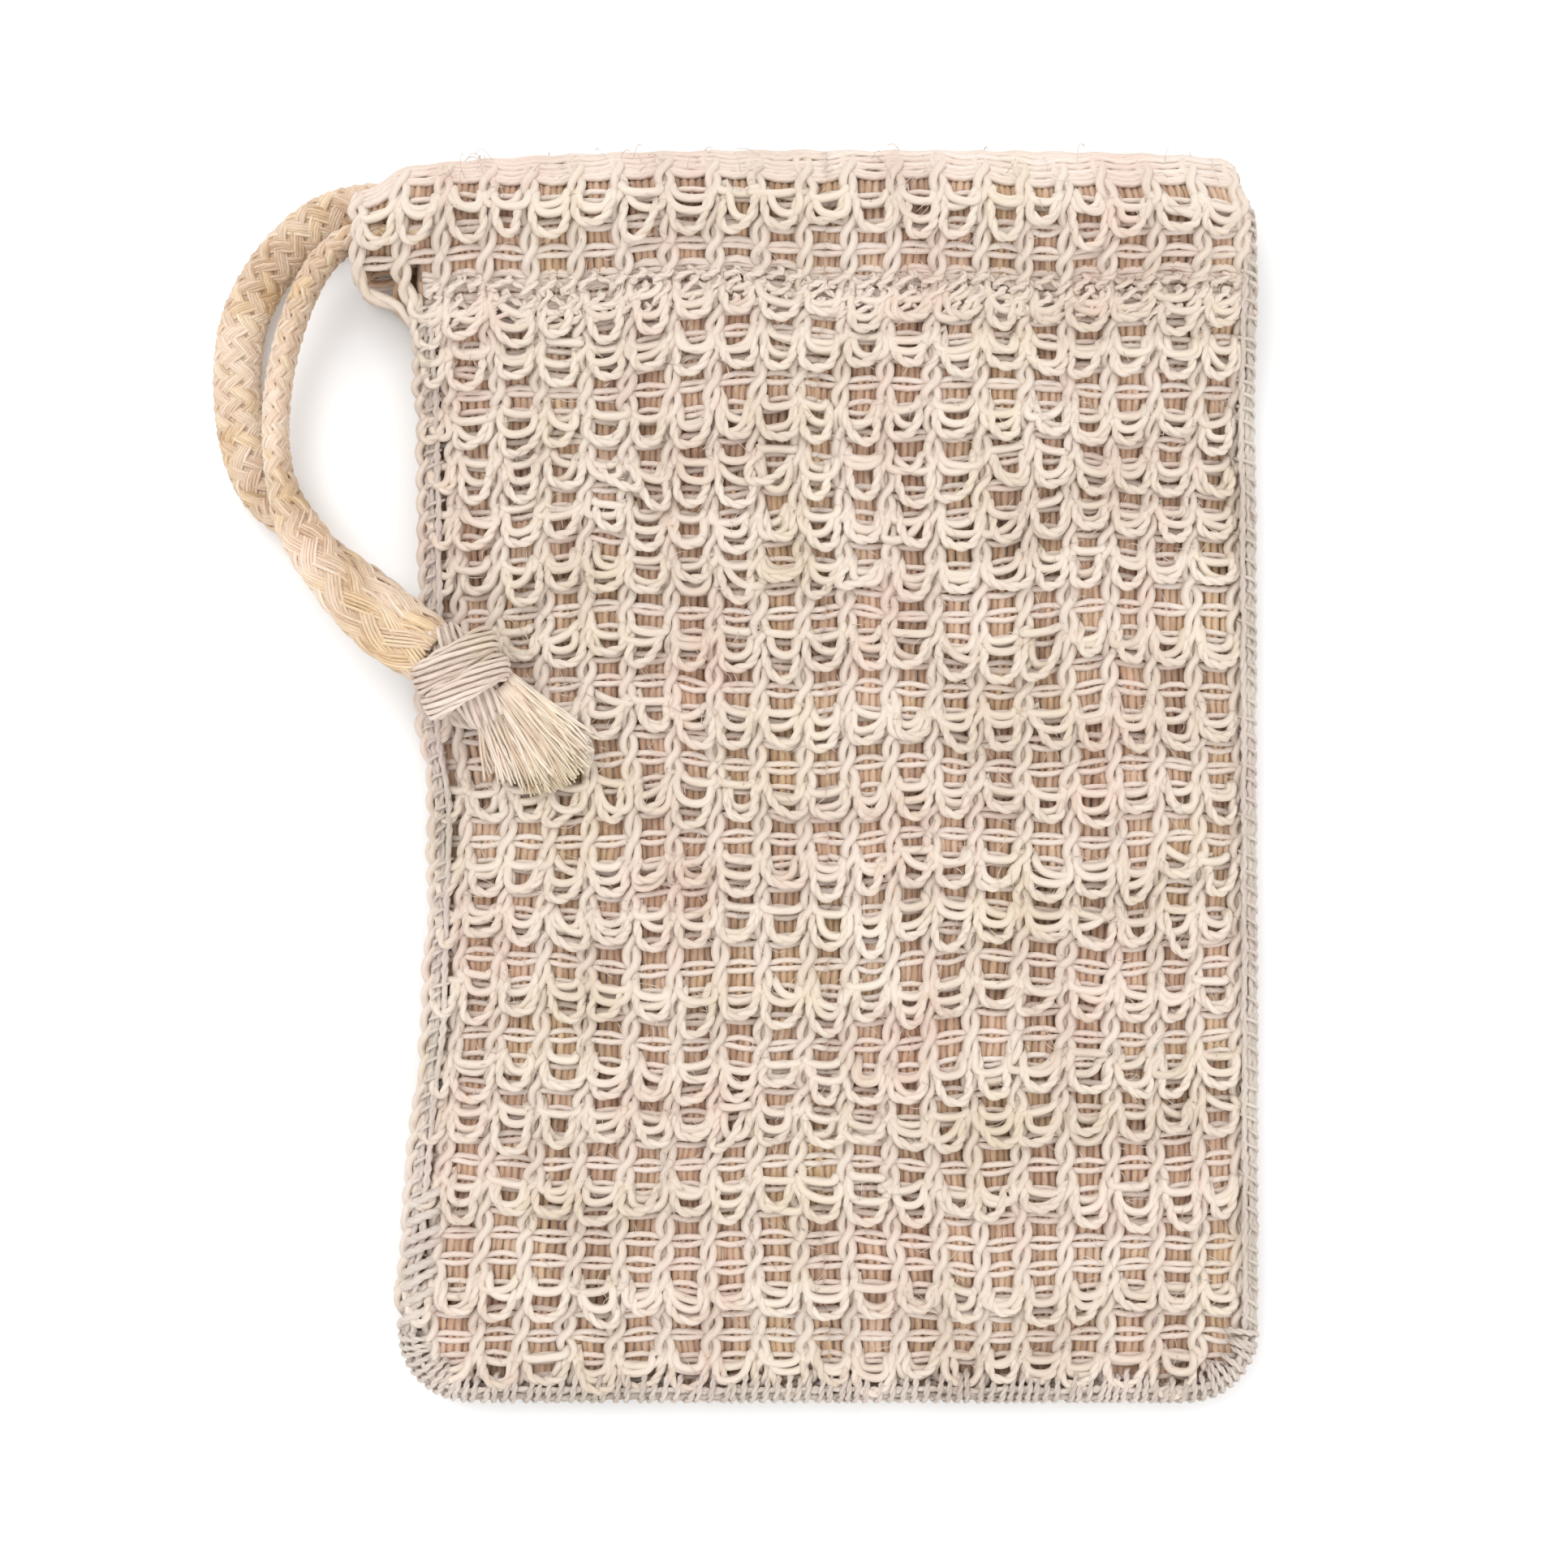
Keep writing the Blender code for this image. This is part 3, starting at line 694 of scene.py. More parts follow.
def loop_row(wall, s, first, last, r, detail, length, stand):
    """A row of terry loops between wales first and last: one yarn that hangs a loop in each gap."""
    line = []
    t = np.linspace(0, 1, detail, endpoint=False)
    turn = math.pi * t
    for n in range(first, last):
        left, right = wale_u(n + 1, s, wall), wale_u(n, s, wall)
        centre = (left + right) / 2 + 0.22 * r.standard_normal()
        drop = length + 0.62 * r.standard_normal()
        drop = min(max(drop, length - 1.6), length + 1.5)
        half = (right - left) / 2 - 0.36 + 0.22 * r.standard_normal()
        tilt = 0.45 * r.standard_normal()
        lift = stand + 0.22 * r.standard_normal()
        skew = (0.35 if r.random() < 0.8 else 1.0) * r.standard_normal()
        x = centre - half * np.cos(turn) * (0.86 + 0.30 * np.sin(turn) ** 2)
        x = x + skew * np.sin(turn)
        deep = np.sin(turn) ** 0.62
        y = s + 1.25 - (drop + 1.0) * deep + tilt * (t - 0.5)
        high = 0.42 + lift * np.sin(turn) ** 0.8
        high = high - 0.95 * np.exp(-((np.minimum(t, 1 - t) / 0.05) ** 2))
        line.append(np.stack([x[::-1], y[::-1], high[::-1]], 1))
    line = np.vstack(line)
    return wall.place(line[:, 0], line[:, 1], line[:, 2])


def row_courses(wall, seed):
    """Every second to fourth course carries terry loops."""
    r = np.random.default_rng(seed)
    courses = course_places(wall)
    rows, n = [], 1
    while n < len(courses):
        rows.append(courses[n])
        n += int(r.choice([2, 3, 3, 3, 4]))
    top = wall.s_at(TOP - 4.5)
    return [s for s in rows if s < top]


def loops(wall, gaps, seed, plies, detail):
    """Terry loops in the gaps first to last of a wall. Rows in the round corners are shorter."""
    yarns = Yarns(seed)
    r = np.random.default_rng(seed)
    hem, corners = wall.s_at(HEM_BOTTOM), wall.s_at(BOTTOM + 6)
    for s in row_courses(wall, 31 if wall.front else 47):
        cut = 1 if s < corners else 0
        count = (WALES - 1 if s < hem else WALES) - cut
        first, last = max(gaps[0], cut), min(gaps[1], count)
        for length, stand in LOOP_STRANDS:
            line = loop_row(wall, s, first, last, r, detail, length, stand)
            if plies > 1 and stand > 0.5:
                yarns.add(plied(line, LOOP_PLY, PLY_PITCH, plies), LOOP_YARN, 5)
            else:
                yarns.add(line, LOOP_YARN + LOOP_PLY * 0.6, 6)
    return yarns


def fuzz(yarns, wall, left, right, count, seed):
    """Loose fibres that stand off the yarns."""
    r = np.random.default_rng(seed)
    each = (count, 1)
    u = r.uniform(left, right, each)
    s = r.uniform(wall.s_at(BOTTOM + 5), wall.s_at(TOP - 1), each)
    heading = r.uniform(0, 2 * math.pi, each)
    length = r.uniform(0.8, 2.6, each)
    bend = r.uniform(-1.6, 1.6, each)
    t = np.linspace(0, 1, 6)
    angle = heading + bend * t
    step = length / 5
    u = u + np.cumsum(step * np.cos(angle), 1)
    s = s + np.cumsum(step * np.sin(angle), 1)
    h = 0.6 + r.uniform(0.2, 1.3, each) * np.sin(t * 2.4)
    yarns.add(wall.place(u, s, h), FIBRE, 3, spread=0.1)


def lining(wall, left, right, start, end, depth, seed):
    """Laid-in yarns along the inner side of a wall, put where the openings show only shade; they
    are given the brown painted-shade finish. A start of None is the bottom edge.
    """
    yarns = Yarns(seed)
    r = np.random.default_rng(seed)
    for u in np.arange(left, right, SHADE_LINING_PITCH):
        inset = past_corner(u)
        first, last = start, end
        if start is None:
            first = wall.s[0] + (corner_rise(inset) if inset > 0 else 0.0)
        if u < -HALF_WIDTH + 0.5:
            last = min(end, wall.s_inside(HEM_BOTTOM + 0.7))
        s = np.arange(first, last, 2.0)
        wander = 0.07 * line_noise(r, 5, 25, 0 * s, s)
        depths = depth + 0.12 * line_noise(r, 4, 18, s, s)
        yarns.add(wall.place(u + wander, s, depths), SHADE_LINING_YARN, 4, spread=0.22)
    return yarns


# ---- the sewn edges

ROUTE_STEP = 0.25


def edge_route(side):
    """Places along one edge, as (x, y, outward x, outward y)."""
    reach = HALF_WIDTH - EDGE_INSET
    corner = CORNER_RADIUS - EDGE_INSET
    centre = (HALF_WIDTH - CORNER_RADIUS, BOTTOM + CORNER_RADIUS)
    if side == "bottom":
        turn = np.linspace(math.pi, 1.5 * math.pi, 14)
        left = [(-centre[0] + corner * math.cos(t), centre[1] + corner * math.sin(t)) for t in turn]
        right = [(-x, y) for x, y in left[::-1]]
        line = spaced(np.array(left + right), ROUTE_STEP)
        tangent = unit(np.gradient(line, axis=0))
        return np.hstack([line, np.stack([tangent[:, 1], -tangent[:, 0]], 1)])
    sign = -1 if side == "left" else 1
    top = HEM_BOTTOM - 3.5 if side == "left" else TOP - 0.9
    y = np.arange(centre[1], top, ROUTE_STEP)
    ones = np.ones_like(y)
    return np.stack([sign * reach * ones, y, sign * ones, 0 * ones], 1)


def edge_heights(side, y):
    """The lowest and highest yarn middles of an edge at y."""
    up = rise(y)
    if side == "right":
        corner = smooth((y - (TOP - 6)) / 5.5)
        return 0.35 + 2.3 * up + 1.2 * corner, 5.0 + 4.9 * up - 2.0 * corner
    return 0.35, 5.0 + 5.6 * up


# An overlock stitch leans by its slant along the edge, and its section's distances in from the
# outline are scaled by its reach. thick is the radius of its yarn, or of each of its two plies.
Overlock = namedtuple("Overlock", "slant reach thick every plied")
FINE_STITCH = Overlock(slant=2.6, reach=0.62, thick=0.20, every=1.7, plied=False)
CLOSE_STITCH = Overlock(slant=1.5, reach=1.0, thick=0.22, every=1.1, plied=True)
BOLD_STITCH = Overlock(slant=5.2, reach=1.25, thick=0.42, every=1.7, plied=True)
WHIP_TOP = -46.0  # the left edge has bold stitches below this

# A stitch's section round the edge: (share of the height, distance in from the outline).
STITCH_SECTION = catmull_rom(
    [
        (0.76, 3.0), (0.97, 2.3), (1.04, 1.4), (1.0, 0.7), (0.80, 0.25), (0.5, 0.1), (0.2, 0.25),
        (0.0, 0.6), (0.0, 1.4), (0.02, 2.3), (0.15, 3.0),
    ],
    2,
)


def edge_base(side, route, r, seed):
    """The yarns that run along an edge, one above another."""
    yarns = Yarns(seed)
    step = route[::5]
    low, high = edge_heights(side, step[:, 1])
    count = 9 if side == "bottom" else 13
    for n in range(count):
        share = (n + 0.5) / count
        z = np.maximum(low + (high - low) * share, 0.5)
        depth = 0.55 + 1.5 * (2 * share - 1) ** 4
        depth = depth + 0.10 * line_noise(r, 3, 12, step[:, 1], step[:, 0])
        line = bend_outline(step[:, 0] - step[:, 2] * depth, step[:, 1] - step[:, 3] * depth, z)
        yarns.add(plied(line, 0.2, 3.0, 2, r.random() * 6), 0.30, 5, spread=0.07)
    return yarns


def edge_wraps(side, route, r, seed):
    """The overlock stitches wrapped over an edge."""
    yarns = Yarns(seed)
    places = np.arange(len(route))
    at = 0.4
    while at < (len(route) - 2) * ROUTE_STEP:
        middle = at / ROUTE_STEP
        stitch = CLOSE_STITCH if side == "bottom" else FINE_STITCH
        if side == "left" and np.interp(middle, places, route[:, 1]) < WHIP_TOP:
            stitch = BOLD_STITCH
        slant = stitch.slant + 0.5 * r.standard_normal()
        reach = stitch.reach + 0.12 * r.standard_normal()
        place = middle + slant / ROUTE_STEP * np.linspace(0.5, -0.5, len(STITCH_SECTION))
        place = np.clip(place, 0, len(route) - 1)
        x, y, out_x, out_y = (np.interp(place, places, route[:, k]) for k in range(4))
        low, high = edge_heights(side, y)
        share, inward = STITCH_SECTION[:, 0], STITCH_SECTION[:, 1]
        inward = np.where(inward > 0.5, inward * reach, inward)
        z = np.maximum(low + (high - low) * share, 0.35)
        line = bend_outline(x - out_x * inward, y - out_y * inward, z)
        if stitch.plied:
            line = plied(line, 0.16, 2.4, 2, r.random() * 6)
        yarns.add(line, stitch.thick, 5, spread=0.1)
        at += stitch.every * (1 + 0.15 * r.standard_normal())
    return yarns


def sewn_edge(side, seed):
    """One edge: yarns along it, and overlock stitches wrapped over them."""
    route = edge_route(side)
    r = np.random.default_rng(seed)
    return edge_base(side, route, r, seed), edge_wraps(side, route, r, seed + 1)


STITCH_ROWS = ((53.2, 0.75), (51.6, 0.95), (50.0, 0.75))  # height, and swing of the zigzag
STITCH_PITCH = 2.35


def stitch_rows(wall, left, right, seed):
    """The rows of stitches that close the hem, and the snarled loops around them."""
    yarns = Yarns(seed)
    r = np.random.default_rng(seed)
    for y, swing in STITCH_ROWS:
        s = wall.s_at(y)
        u = np.arange(left, right, 0.21)
        wave = make_waves(int(r.integers(1 << 30)), 3, 12, 5)  # one noise, read both ways
        turn = 2 * math.pi * u / STITCH_PITCH + 0.9 * wave_noise(wave, u, 0 * u)
        across = s + swing * np.sin(turn) + 0.35 * wave_noise(wave, 0 * u, u)
        ahead = u + 0.55 * np.sin(2 * turn)
        line = wall.place(ahead, across, 0.55 + 0.3 * np.cos(turn))
        yarns.add(plied(line, 0.17, 2.4, 2), 0.26, 5, hue=0.4)
    return yarns


# ---- the braided cord


def cord_frames(route, flat, step):
    """A route at an even spacing, with the directions of the cord's width and thickness."""
    line = spaced(route, step)
    share = np.linspace(0, 1, len(line))
    at = np.linspace(0, 1, len(flat))
    wide = unit(np.stack([np.interp(share, at, flat[:, k]) for k in range(3)], 1))
    tangent = unit(np.gradient(line, axis=0))
    wide = unit(wide - (wide * tangent).sum(1, keepdims=True) * tangent)
    return line, wide, np.cross(tangent, wide), distances(line)


THREAD = 0.21
THREAD_LIFT = 0.17
BRAID_CARRIERS = 5  # bands of threads in each sense
BRAID_LAY = 13.0  # the length in which a band goes once round


def fill_core(yarns, line, wide, width, height):
    """Plain yarns inside a cord, so that nothing shows through it."""
    radius = min(height, width) - 2 * THREAD - THREAD_LIFT
    for shift in (-1, -0.35, 0.35, 1):
        core = line + shift * max(width - height, 0) * wide
        yarns.add(core[::2], radius + 0.08, 8, spread=0.0)


def braid(yarns, route, flat, size, threads=5, step=0.62, tight=0.0):
    """A flat tubular braid along a route; flat is the direction of its width at each place."""
    carriers, lay = BRAID_CARRIERS, BRAID_LAY
    line, wide, tall, along = cord_frames(route, flat, step)
    width, height = size[0] / 2, size[1] / 2
    share = along / along[-1]
    rate = 2 * math.pi / lay * (1 - tight * smooth((share - 0.6) / 0.3))
    wound = np.concatenate([[0], np.cumsum(rate[1:] * np.diff(along))])
    for sense in (1, -1):
        over = sense * THREAD_LIFT * np.cos(carriers * wound)
        for n in range(carriers):
            for k in range(threads):
                turn = sense * wound + 2 * math.pi * n / carriers
                turn = turn + (k - (threads - 1) / 2) * 0.92 / threads
                a = (width - THREAD - THREAD_LIFT + over) * np.cos(turn)
                b = (height - THREAD - THREAD_LIFT + over) * np.sin(turn)
                hue = 0.72 if (n + sense) % 3 == 0 else 0.48
                path = line + a[:, None] * wide + b[:, None] * tall
                yarns.add(path, THREAD, 5, hue=hue, spread=0.14)
    fill_core(yarns, line, wide, width, height)


def bundle(yarns, route, flat, size, count, lay, thread=0.27, step=0.6):
    """Yarns that lie side by side round a flat cord, nearly along it."""
    line, wide, tall, along = cord_frames(route, flat, step)
    width, height = size[0] / 2, size[1] / 2
    for n in range(count):
        turn = 2 * math.pi * (n / count + along / lay)
        wave = 0.10 * np.sin(along * 1.7 + 2.1 * n) + 0.09 * np.sin(along * 0.8 + 3.7 * n)
        a = (width - thread + wave) * np.cos(turn)
        b = (height - thread + wave) * np.sin(turn)
        yarns.add(line + a[:, None] * wide + b[:, None] * tall, thread, 6, spread=0.16)
    fill_core(yarns, line, wide, width, height)


# The strands' routes, from inside the casing to the knot.
UPPER_ROUTE = [
    (-24.6, 60.75, 3.7), (-38, 61.0, 3.7), (-46, 61.3, 3.5), (-50.6, 61.5, 3.4),
    (-54.8, 60.5, 3.4), (-58.4, 58.1, 2.9), (-61.8, 54.2, 2.5), (-64.3, 49.0, 2.3),
    (-65.0, 42.6, 2.2), (-64.3, 36.3, 2.2), (-62.2, 31.2, 2.3), (-58.6, 27.3, 2.6),
    (-54.9, 24.4, 3.4), (-51.2, 21.9, 5.4), (-48.2, 19.6, 7.6), (-45.0, 17.2, 9.0),
    (-42.0, 14.8, 9.9),
]
LOWER_ROUTE = [
    (-24.6, 58.2, 9.4), (-38, 58.0, 9.4), (-46, 57.7, 9.5), (-50.6, 57.6, 9.6),
    (-53.3, 56.5, 9.1), (-55.9, 53.9, 8.0), (-58.2, 49.3, 6.8), (-59.7, 44.3, 5.8),
    (-60.4, 39.1, 5.4), (-60.2, 34.2, 5.8), (-58.9, 29.4, 6.8), (-56.5, 25.0, 7.6),
    (-53.2, 20.4, 8.9), (-50.2, 17.0, 10.3), (-47.2, 14.6, 11.6), (-43.6, 12.6, 12.4),
]
CORD_WIDTH = 5.4
CORD_THICK = 3.1
HEM_CORD = 2.6  # the cord's thickness in the casing
HEM_CORD_LOW = 3.7  # the heights of its two runs there
HEM_CORD_HIGH = 9.4


def build_strands():
    """The two free strands, each with the end that slides in the casing."""
    made = {}
    for name, route, seed in (("upper", UPPER_ROUTE, 61), ("lower", LOWER_ROUTE, 63)):
        yarns = Yarns(seed)
        line = catmull_rom(route)
        up = np.array([0.0, 0.0, 1.0])
        level = np.cross(unit(np.gradient(line, axis=0)), up)
        share = np.linspace(0, 1, len(line))[:, None]
        # The upper strand lies flat, and turns on edge towards the knot. The lower one lies flat
        # in the casing and at the knot, and is on edge between them.
        near_knot = smooth((share - 0.62) / 0.2)
        if name == "upper":
            flat = level * (1 - 0.75 * near_knot) + up * 0.75 * near_knot
        else:
            lie = 0.9 * near_knot
            inside = 1 - smooth((share - 0.16) / 0.12)
            upright = 1 - np.maximum(lie, 0.9 * inside)
            flat = level * np.maximum(lie, 0.25 * inside) + up * upright
        braid(yarns, line, flat, (CORD_WIDTH, CORD_THICK), tight=0.6)
        made[name] = (make_piece(f"drawstring_strand_{name}", (yarns, BRAID)), line)
    return made


def casing_middle():
    """The middle of the hem, between two wales."""
    return FIRST_WALE - WALE_PITCH * (MIDDLE_GAP + 0.5)


def build_casing_cords():
    """The cord in the casing: its back run and bend, and its front run in two halves."""
    middle = casing_middle()
    bend = math.pi * np.linspace(-0.5, 0.5, 15)[1:-1]
    low, high = HEM_CORD_LOW, HEM_CORD_HIGH
    radius = (high - low) / 2
    bend_x = HALF_WIDTH - 4.6 - radius
    y = TOP - 6.25
    middle_z = (low + high) / 2
    back = [(-23.7, y, low), (-8, y, low), (8, y, low), (24, y, low), (bend_x, y, low)]
    back += [(bend_x + radius * math.cos(t), y, middle_z + radius * math.sin(t)) for t in bend]
    back += [(bend_x, y, high), (bend_x - 1.0, y, high)]
    runs = {
        "back": back,
        "left": [(-23.9, y, high), (middle / 2 - 12, y, high), (middle, y, high)],
        "right": [(middle, y, high), (middle / 2 + 18, y, high), (bend_x - 0.6, y, high)],
    }
    made = {}
    for seed, (name, route) in enumerate(runs.items()):
        line = catmull_rom(route)
        yarns = Yarns(71 + seed)
        flat = np.tile([0.0, 1.0, 0.0], (len(line), 1))
        braid(yarns, line, flat, (CORD_WIDTH, HEM_CORD), step=0.9, threads=4)
        made[name] = make_piece(f"casing_cord_{name}", (yarns, BRAID))
    return made


# ---- the knot and the frayed ends

KNOT_MIDDLE = np.array((-40.1, 11.3, 11.9))
BAND_HEADING = 25.0  # degrees from +X, as are all headings
EXIT_HEADING = -53.0


def build_knot():
    """An overhand knot: a band of the paired cord wraps the strands that run on through it."""
    yarns = Yarns(81)
    band, out = math.radians(BAND_HEADING), math.radians(EXIT_HEADING)
    side = np.array((math.cos(band), math.sin(band), 0.0))
    axis = np.array((math.sin(band), -math.cos(band), 0.0))
    ahead = np.array((math.cos(out), math.sin(out), 0.0))
    up = np.array((0.0, 0.0, 1.0))
    through = ((-4.6, -1.6), (-2, -0.4), (1, -0.2), (3.6, -0.8), (5.2, -1.6))
    core = catmull_rom([KNOT_MIDDLE + ahead * a + up * z for a, z in through])
    bundle(yarns, core, np.tile(np.cross(up, ahead), (len(core), 1)), (CORD_WIDTH, 4.0), 16, 40.0)
    angle = np.linspace(-2.0, 2 * math.pi - 1.6, 70)
    for shift, width in ((-1.45, 3.3), (1.55, 3.1)):
        wrap = (
            KNOT_MIDDLE
            + axis * (shift - 0.45 * np.cos(angle))[:, None]
            + side * (4.15 * np.cos(angle))[:, None]
            + up * (2.975 * np.sin(angle))[:, None]
        )
        bundle(yarns, wrap, np.tile(axis, (len(wrap), 1)), (width, 2.2), 12, 34.0)
    return make_piece("knot_wraps", (yarns, KNOT_COTTON))


def front_rest(plan):
    """The height of the front wall's loops under places in plan."""
    return 5.9 + crown(plan[..., 0], plan[..., 1]) + 2.4 * rise(plan[..., 1])


def build_tassels():
    """Two frayed ends that fan out over the front wall."""
    made = {}
    for name, root, heading, spread, length, count, wide, seed in (
        ("left", (-38.3, 8.8, 10.3), -72, 5, 9.6, 90, 1.0, 91),
        ("right", (-36.0, 9.8, 10.9), -53, 17, 12.2, 420, 1.9, 93),
    ):
        yarns = Yarns(seed)
        r = np.random.default_rng(seed)
        t = np.linspace(0, 1, 13)
        share = r.uniform(-1, 1, (count, 1))
        angle = np.radians(heading + spread * share + 1.5 * r.standard_normal((count, 1)))
        reach = length * (1 - 0.12 * share**2) * r.uniform(0.80, 1.04, (count, 1))
        curl = r.uniform(-1, 1, (count, 1)) * 1.1
        phase = r.uniform(0, 2 * math.pi, (count, 1))
        wave = 0.22 * np.sin(t * r.uniform(5, 11, (count, 1)) + phase) * t
        aside = share * wide * (1 - 0.25 * t) + curl * t**2 * (1 - 0.3 * t) + wave
        x = root[0] + np.cos(angle) * reach * t - np.sin(angle) * aside
        y = root[1] + np.sin(angle) * reach * t + np.cos(angle) * aside
        rest = front_rest(np.stack([x, y], -1))
        layer = r.uniform(0.0, 2.6, (count, 1)) * (1 - 0.45 * t)
        start = root[2] + r.uniform(-1.5, 1.5, (count, 1)) * (1 - share**2) ** 0.5
        z = start + (rest + layer - start) * smooth(1.5 * t)
        z = np.maximum(z, rest - 0.1)
        radius = np.tile(np.linspace(0.19, 0.11, 13), (count, 1))
        yarns.add(np.stack([x, y, z], -1), radius, 4, spread=0.2, hue=0.55)
        made[name] = make_piece(f"frayed_end_{name}", (yarns, FRAY))
    return made


# ---- pieces


def halves():
    """The front wall is two pieces that meet where the lifting is greatest."""
    middle = casing_middle()
    return {
        "left": (-WIDE, middle, (MIDDLE_GAP, WALES)),
        "right": (middle, WIDE, (0, MIDDLE_GAP)),
    }


def front_shade_lining(side, left, right, seed):
    """The painted-shade lining of the front wall and of its hem, and the yarns behind its wales, as
    layers.
    """
    reach = HALF_WIDTH - 1.4
    top = FRONT.fold - 1.2
    layers = [
        (lining(FRONT, left, right, FRONT.fold + 1.2, FRONT.s[-1], -0.55, seed + 4), SHADE_LINING_COTTON),
        (lining(FRONT, max(left, -reach), right, None, top, -0.85, seed + 7), SHADE_LINING_COTTON),
        (wale_cores(FRONT, halves()[side][:2], seed + 9), COTTON),
    ]
    if side == "left":
        start = FRONT.s_at(HEM_BOTTOM + 0.8)
        layers.append((lining(FRONT, left, -reach, start, top, -0.85, seed + 10), SHADE_LINING_COTTON))
    return layers


def build_front():
    made = {}
    for side, (left, right, gaps) in halves().items():
        seed = 11 if side == "left" else 17
        wales, rungs = ground(FRONT, (left, right), seed, 8)
        made["knit", side] = make_piece(
            f"front_knit_{side}", (wales, COTTON), (rungs, RUNG_COTTON)
        )
        close = hem_rungs(FRONT, (left, right), seed + 8)
        pile = loops(FRONT, gaps, seed + 3, 2, 22)
        fuzz(pile, FRONT, max(left, -42), min(right, 42), 700, seed + 6)
        made["loops", side] = make_piece(f"front_loops_{side}", (pile, LOOP_COTTON))
        left, right = max(left, HEM_LEFT + 1.5), min(right, HALF_WIDTH - 1.2)
        layers = front_shade_lining(side, left, right, seed)
        made["lining", side] = make_piece(f"front_shade_lining_{side}", *layers)
        rows = stitch_rows(FRONT, max(left, 1.6 - HALF_WIDTH), right, seed + 5)
        made["stitches", side] = make_piece(
            f"front_hem_stitches_{side}", (rows, COTTON), (close, RUNG_COTTON)
        )
    return made


def build_back():
    sides = (-WIDE, WIDE)
    wales, rungs = ground(BACK, sides, 23, 4)
    reach = HALF_WIDTH - 1.2
    # The back's brown lining yarns stand for the shade seen through the openings: painted shade.
    inner = lining(BACK, -reach, reach, None, BACK.fold - 1.2, -0.8, 35)
    cores = wale_cores(BACK, sides, 33)
    hem_inner = lining(BACK, HEM_LEFT + 1.5, reach, BACK.fold + 1.2, BACK.s[-1], -0.55, 39)
    return {
        "knit": make_piece("back_knit", (wales, COTTON), (rungs, RUNG_COTTON)),
        "loops": make_piece("back_loops", (loops(BACK, (0, WALES), 29, 1, 12), LOOP_COTTON)),
        "lining": make_piece("back_shade_lining", (inner, SHADE_LINING_COTTON), (cores, COTTON)),
        "hem_shade_lining": make_piece("back_hem_shade_lining", (hem_inner, SHADE_LINING_COTTON)),
        "stitches": make_piece(
            "back_hem_stitches",
            (stitch_rows(BACK, -reach, reach, 37), COTTON),
            (hem_rungs(BACK, sides, 45), RUNG_COTTON),
        ),
    }


def build_edges():
    made = {}
    for seed, side in enumerate(("left", "bottom", "right")):
        base, wraps = sewn_edge(side, 41 + 3 * seed)
        made[side] = make_piece(f"{side}_edge_overlock", (base, SHADED_EDGE_COTTON), (wraps, SHADED_EDGE_COTTON))
    return made


# ---- stage


def build_stage():
    """A white table, an even white sky and two soft lamps."""
    mesh = bpy.data.meshes.new("table")
    reach = 8.0
    corners = [(-reach, -reach, 0), (reach, -reach, 0), (reach, reach, 0), (-reach, reach, 0)]
    mesh.from_pydata(corners, [], [(0, 1, 2, 3)])
    mesh.materials.append(floor_material())
    table = bpy.data.objects.new("table", mesh)
    table.location.z = -0.0002
    bpy.context.scene.collection.objects.link(table)

    world = bpy.data.worlds.new("studio")
    world.use_nodes = True
    world.node_tree.nodes["Background"].inputs["Color"].default_value = (1, 1, 1, 1)
    world.node_tree.nodes["Background"].inputs["Strength"].default_value = 1.06
    bpy.context.scene.world = world

    for name, place, size, power in (
        ("key", (-0.35, 0.45, 0.9), 0.6, 4.2),
        ("fill", (0.6, -0.3, 0.7), 0.8, 2.0),
    ):
        light = bpy.data.lights.new(name, "AREA")
        light.size = size
        light.energy = power
        lamp = bpy.data.objects.new(name, light)
        lamp.location = place
        lamp.rotation_euler = (-lamp.location).to_track_quat("-Z", "Y").to_euler()
        bpy.context.scene.collection.objects.link(lamp)


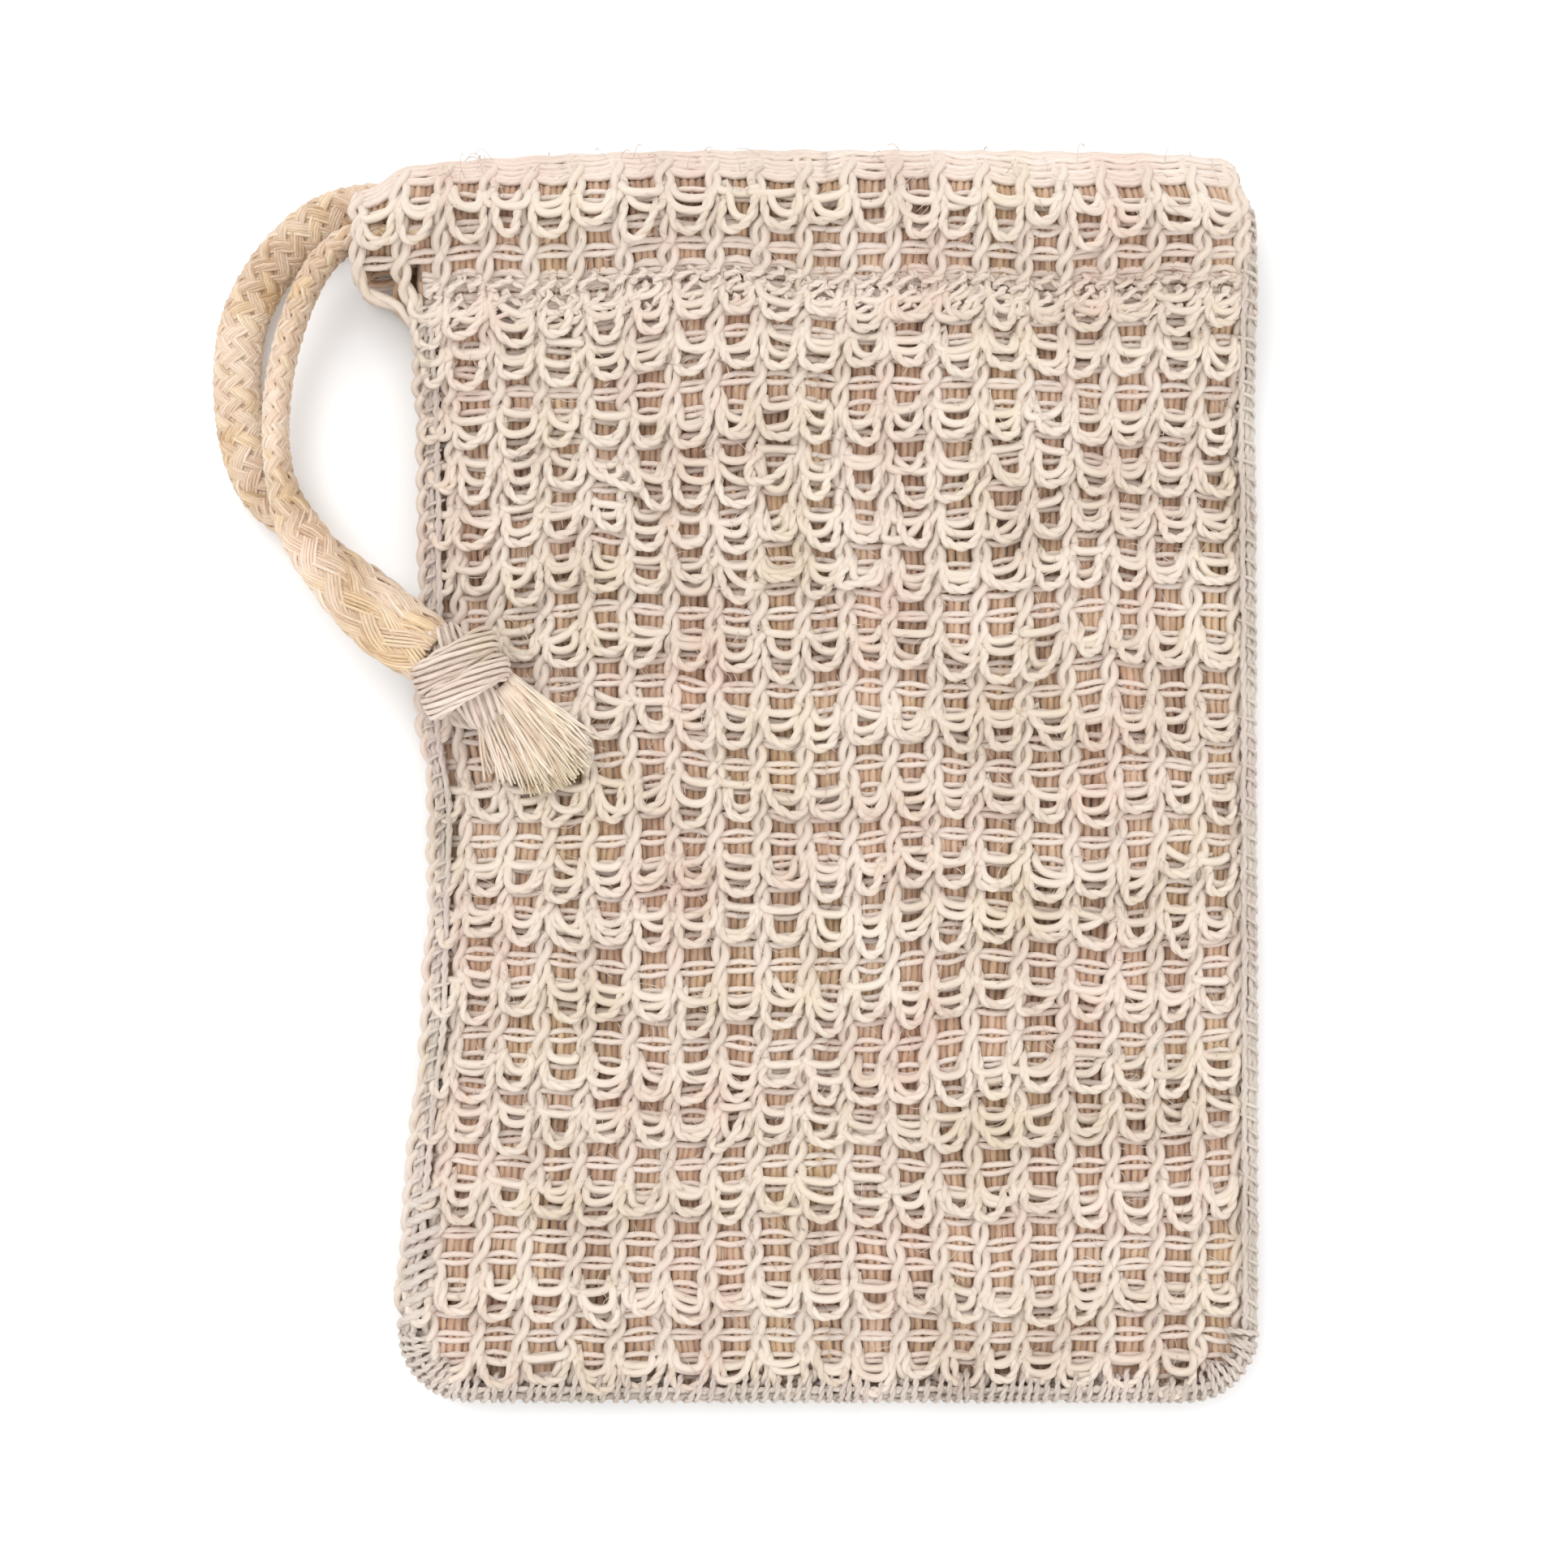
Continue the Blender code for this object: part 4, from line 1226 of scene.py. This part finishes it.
def build_camera():
    """Straight above, with the mouth at the top of the picture."""
    data = bpy.data.cameras.new("camera")
    data.lens = 85
    data.sensor_width = 36
    camera = bpy.data.objects.new("camera", data)
    view_width, view_middle, view_level = 167.2, (-6.14, -0.35), 6
    height = view_width * data.lens / data.sensor_width + view_level
    camera.location = (view_middle[0] * MM, view_middle[1] * MM, height * MM)
    bpy.context.scene.collection.objects.link(camera)
    bpy.context.scene.camera = camera
    bpy.context.scene.view_settings.view_transform = "Standard"


# ---- assembly


def follow_front(piece):
    """The piece keeps its place, with its transform baked into its mesh."""
    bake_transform(piece)


def join_walls(front, back, edges, casing):
    """What the walls' pieces move with: the back's pieces, the edges and the casing's back run move
    with the pouch, and the front's pieces are baked where they lie.
    """
    for (kind, side), piece in front.items():
        follow_front(piece)
    for side in ("left", "right"):
        follow_front(casing[side])
    for kind, piece in back.items():
        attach(piece, "pouch")
    for piece in edges.values():
        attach(piece, "pouch")
    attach(casing["back"], "pouch")


def join_drawstring(strands, knot, tassels):
    """What the drawstring's pieces move with: the knot and the frayed ends move with the loop, and
    the strands are baked where they lie.
    """
    for piece in (knot, *tassels.values()):
        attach(piece, "loop")
    for name, (piece, line) in strands.items():
        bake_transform(piece)


def stand_for_cad():
    """Hides the CAD nodes, which the yarn pieces replace."""
    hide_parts("back_panel", "back_hem")
    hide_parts("back_hem_stitching")
    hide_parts("front_panel_left", "front_hem_left", "front_panel_middle")
    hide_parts("front_panel_right", "front_hem_right", "front_hem_middle")
    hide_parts("front_hem_stitching_left", "front_hem_stitching_middle")
    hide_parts("front_hem_stitching_right")
    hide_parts("left_side_seam")
    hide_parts("bottom_seam")
    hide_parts("right_side_seam", "hem_right_end")
    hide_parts("casing_cord")
    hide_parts("casing_cord_middle")
    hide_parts("cord_end_back", "loop_strand_upper")
    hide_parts("cord_end_front", "loop_strand_lower")
    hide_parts("knot")
    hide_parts("tassel_left")
    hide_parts("tassel_right")


def main():
    build_camera()
    build_stage()
    strands = build_strands()
    knot = build_knot()
    tassels = build_tassels()
    casing = build_casing_cords()
    front = build_front()
    back = build_back()
    edges = build_edges()
    join_walls(front, back, edges, casing)
    join_drawstring(strands, knot, tassels)
    stand_for_cad()


main()
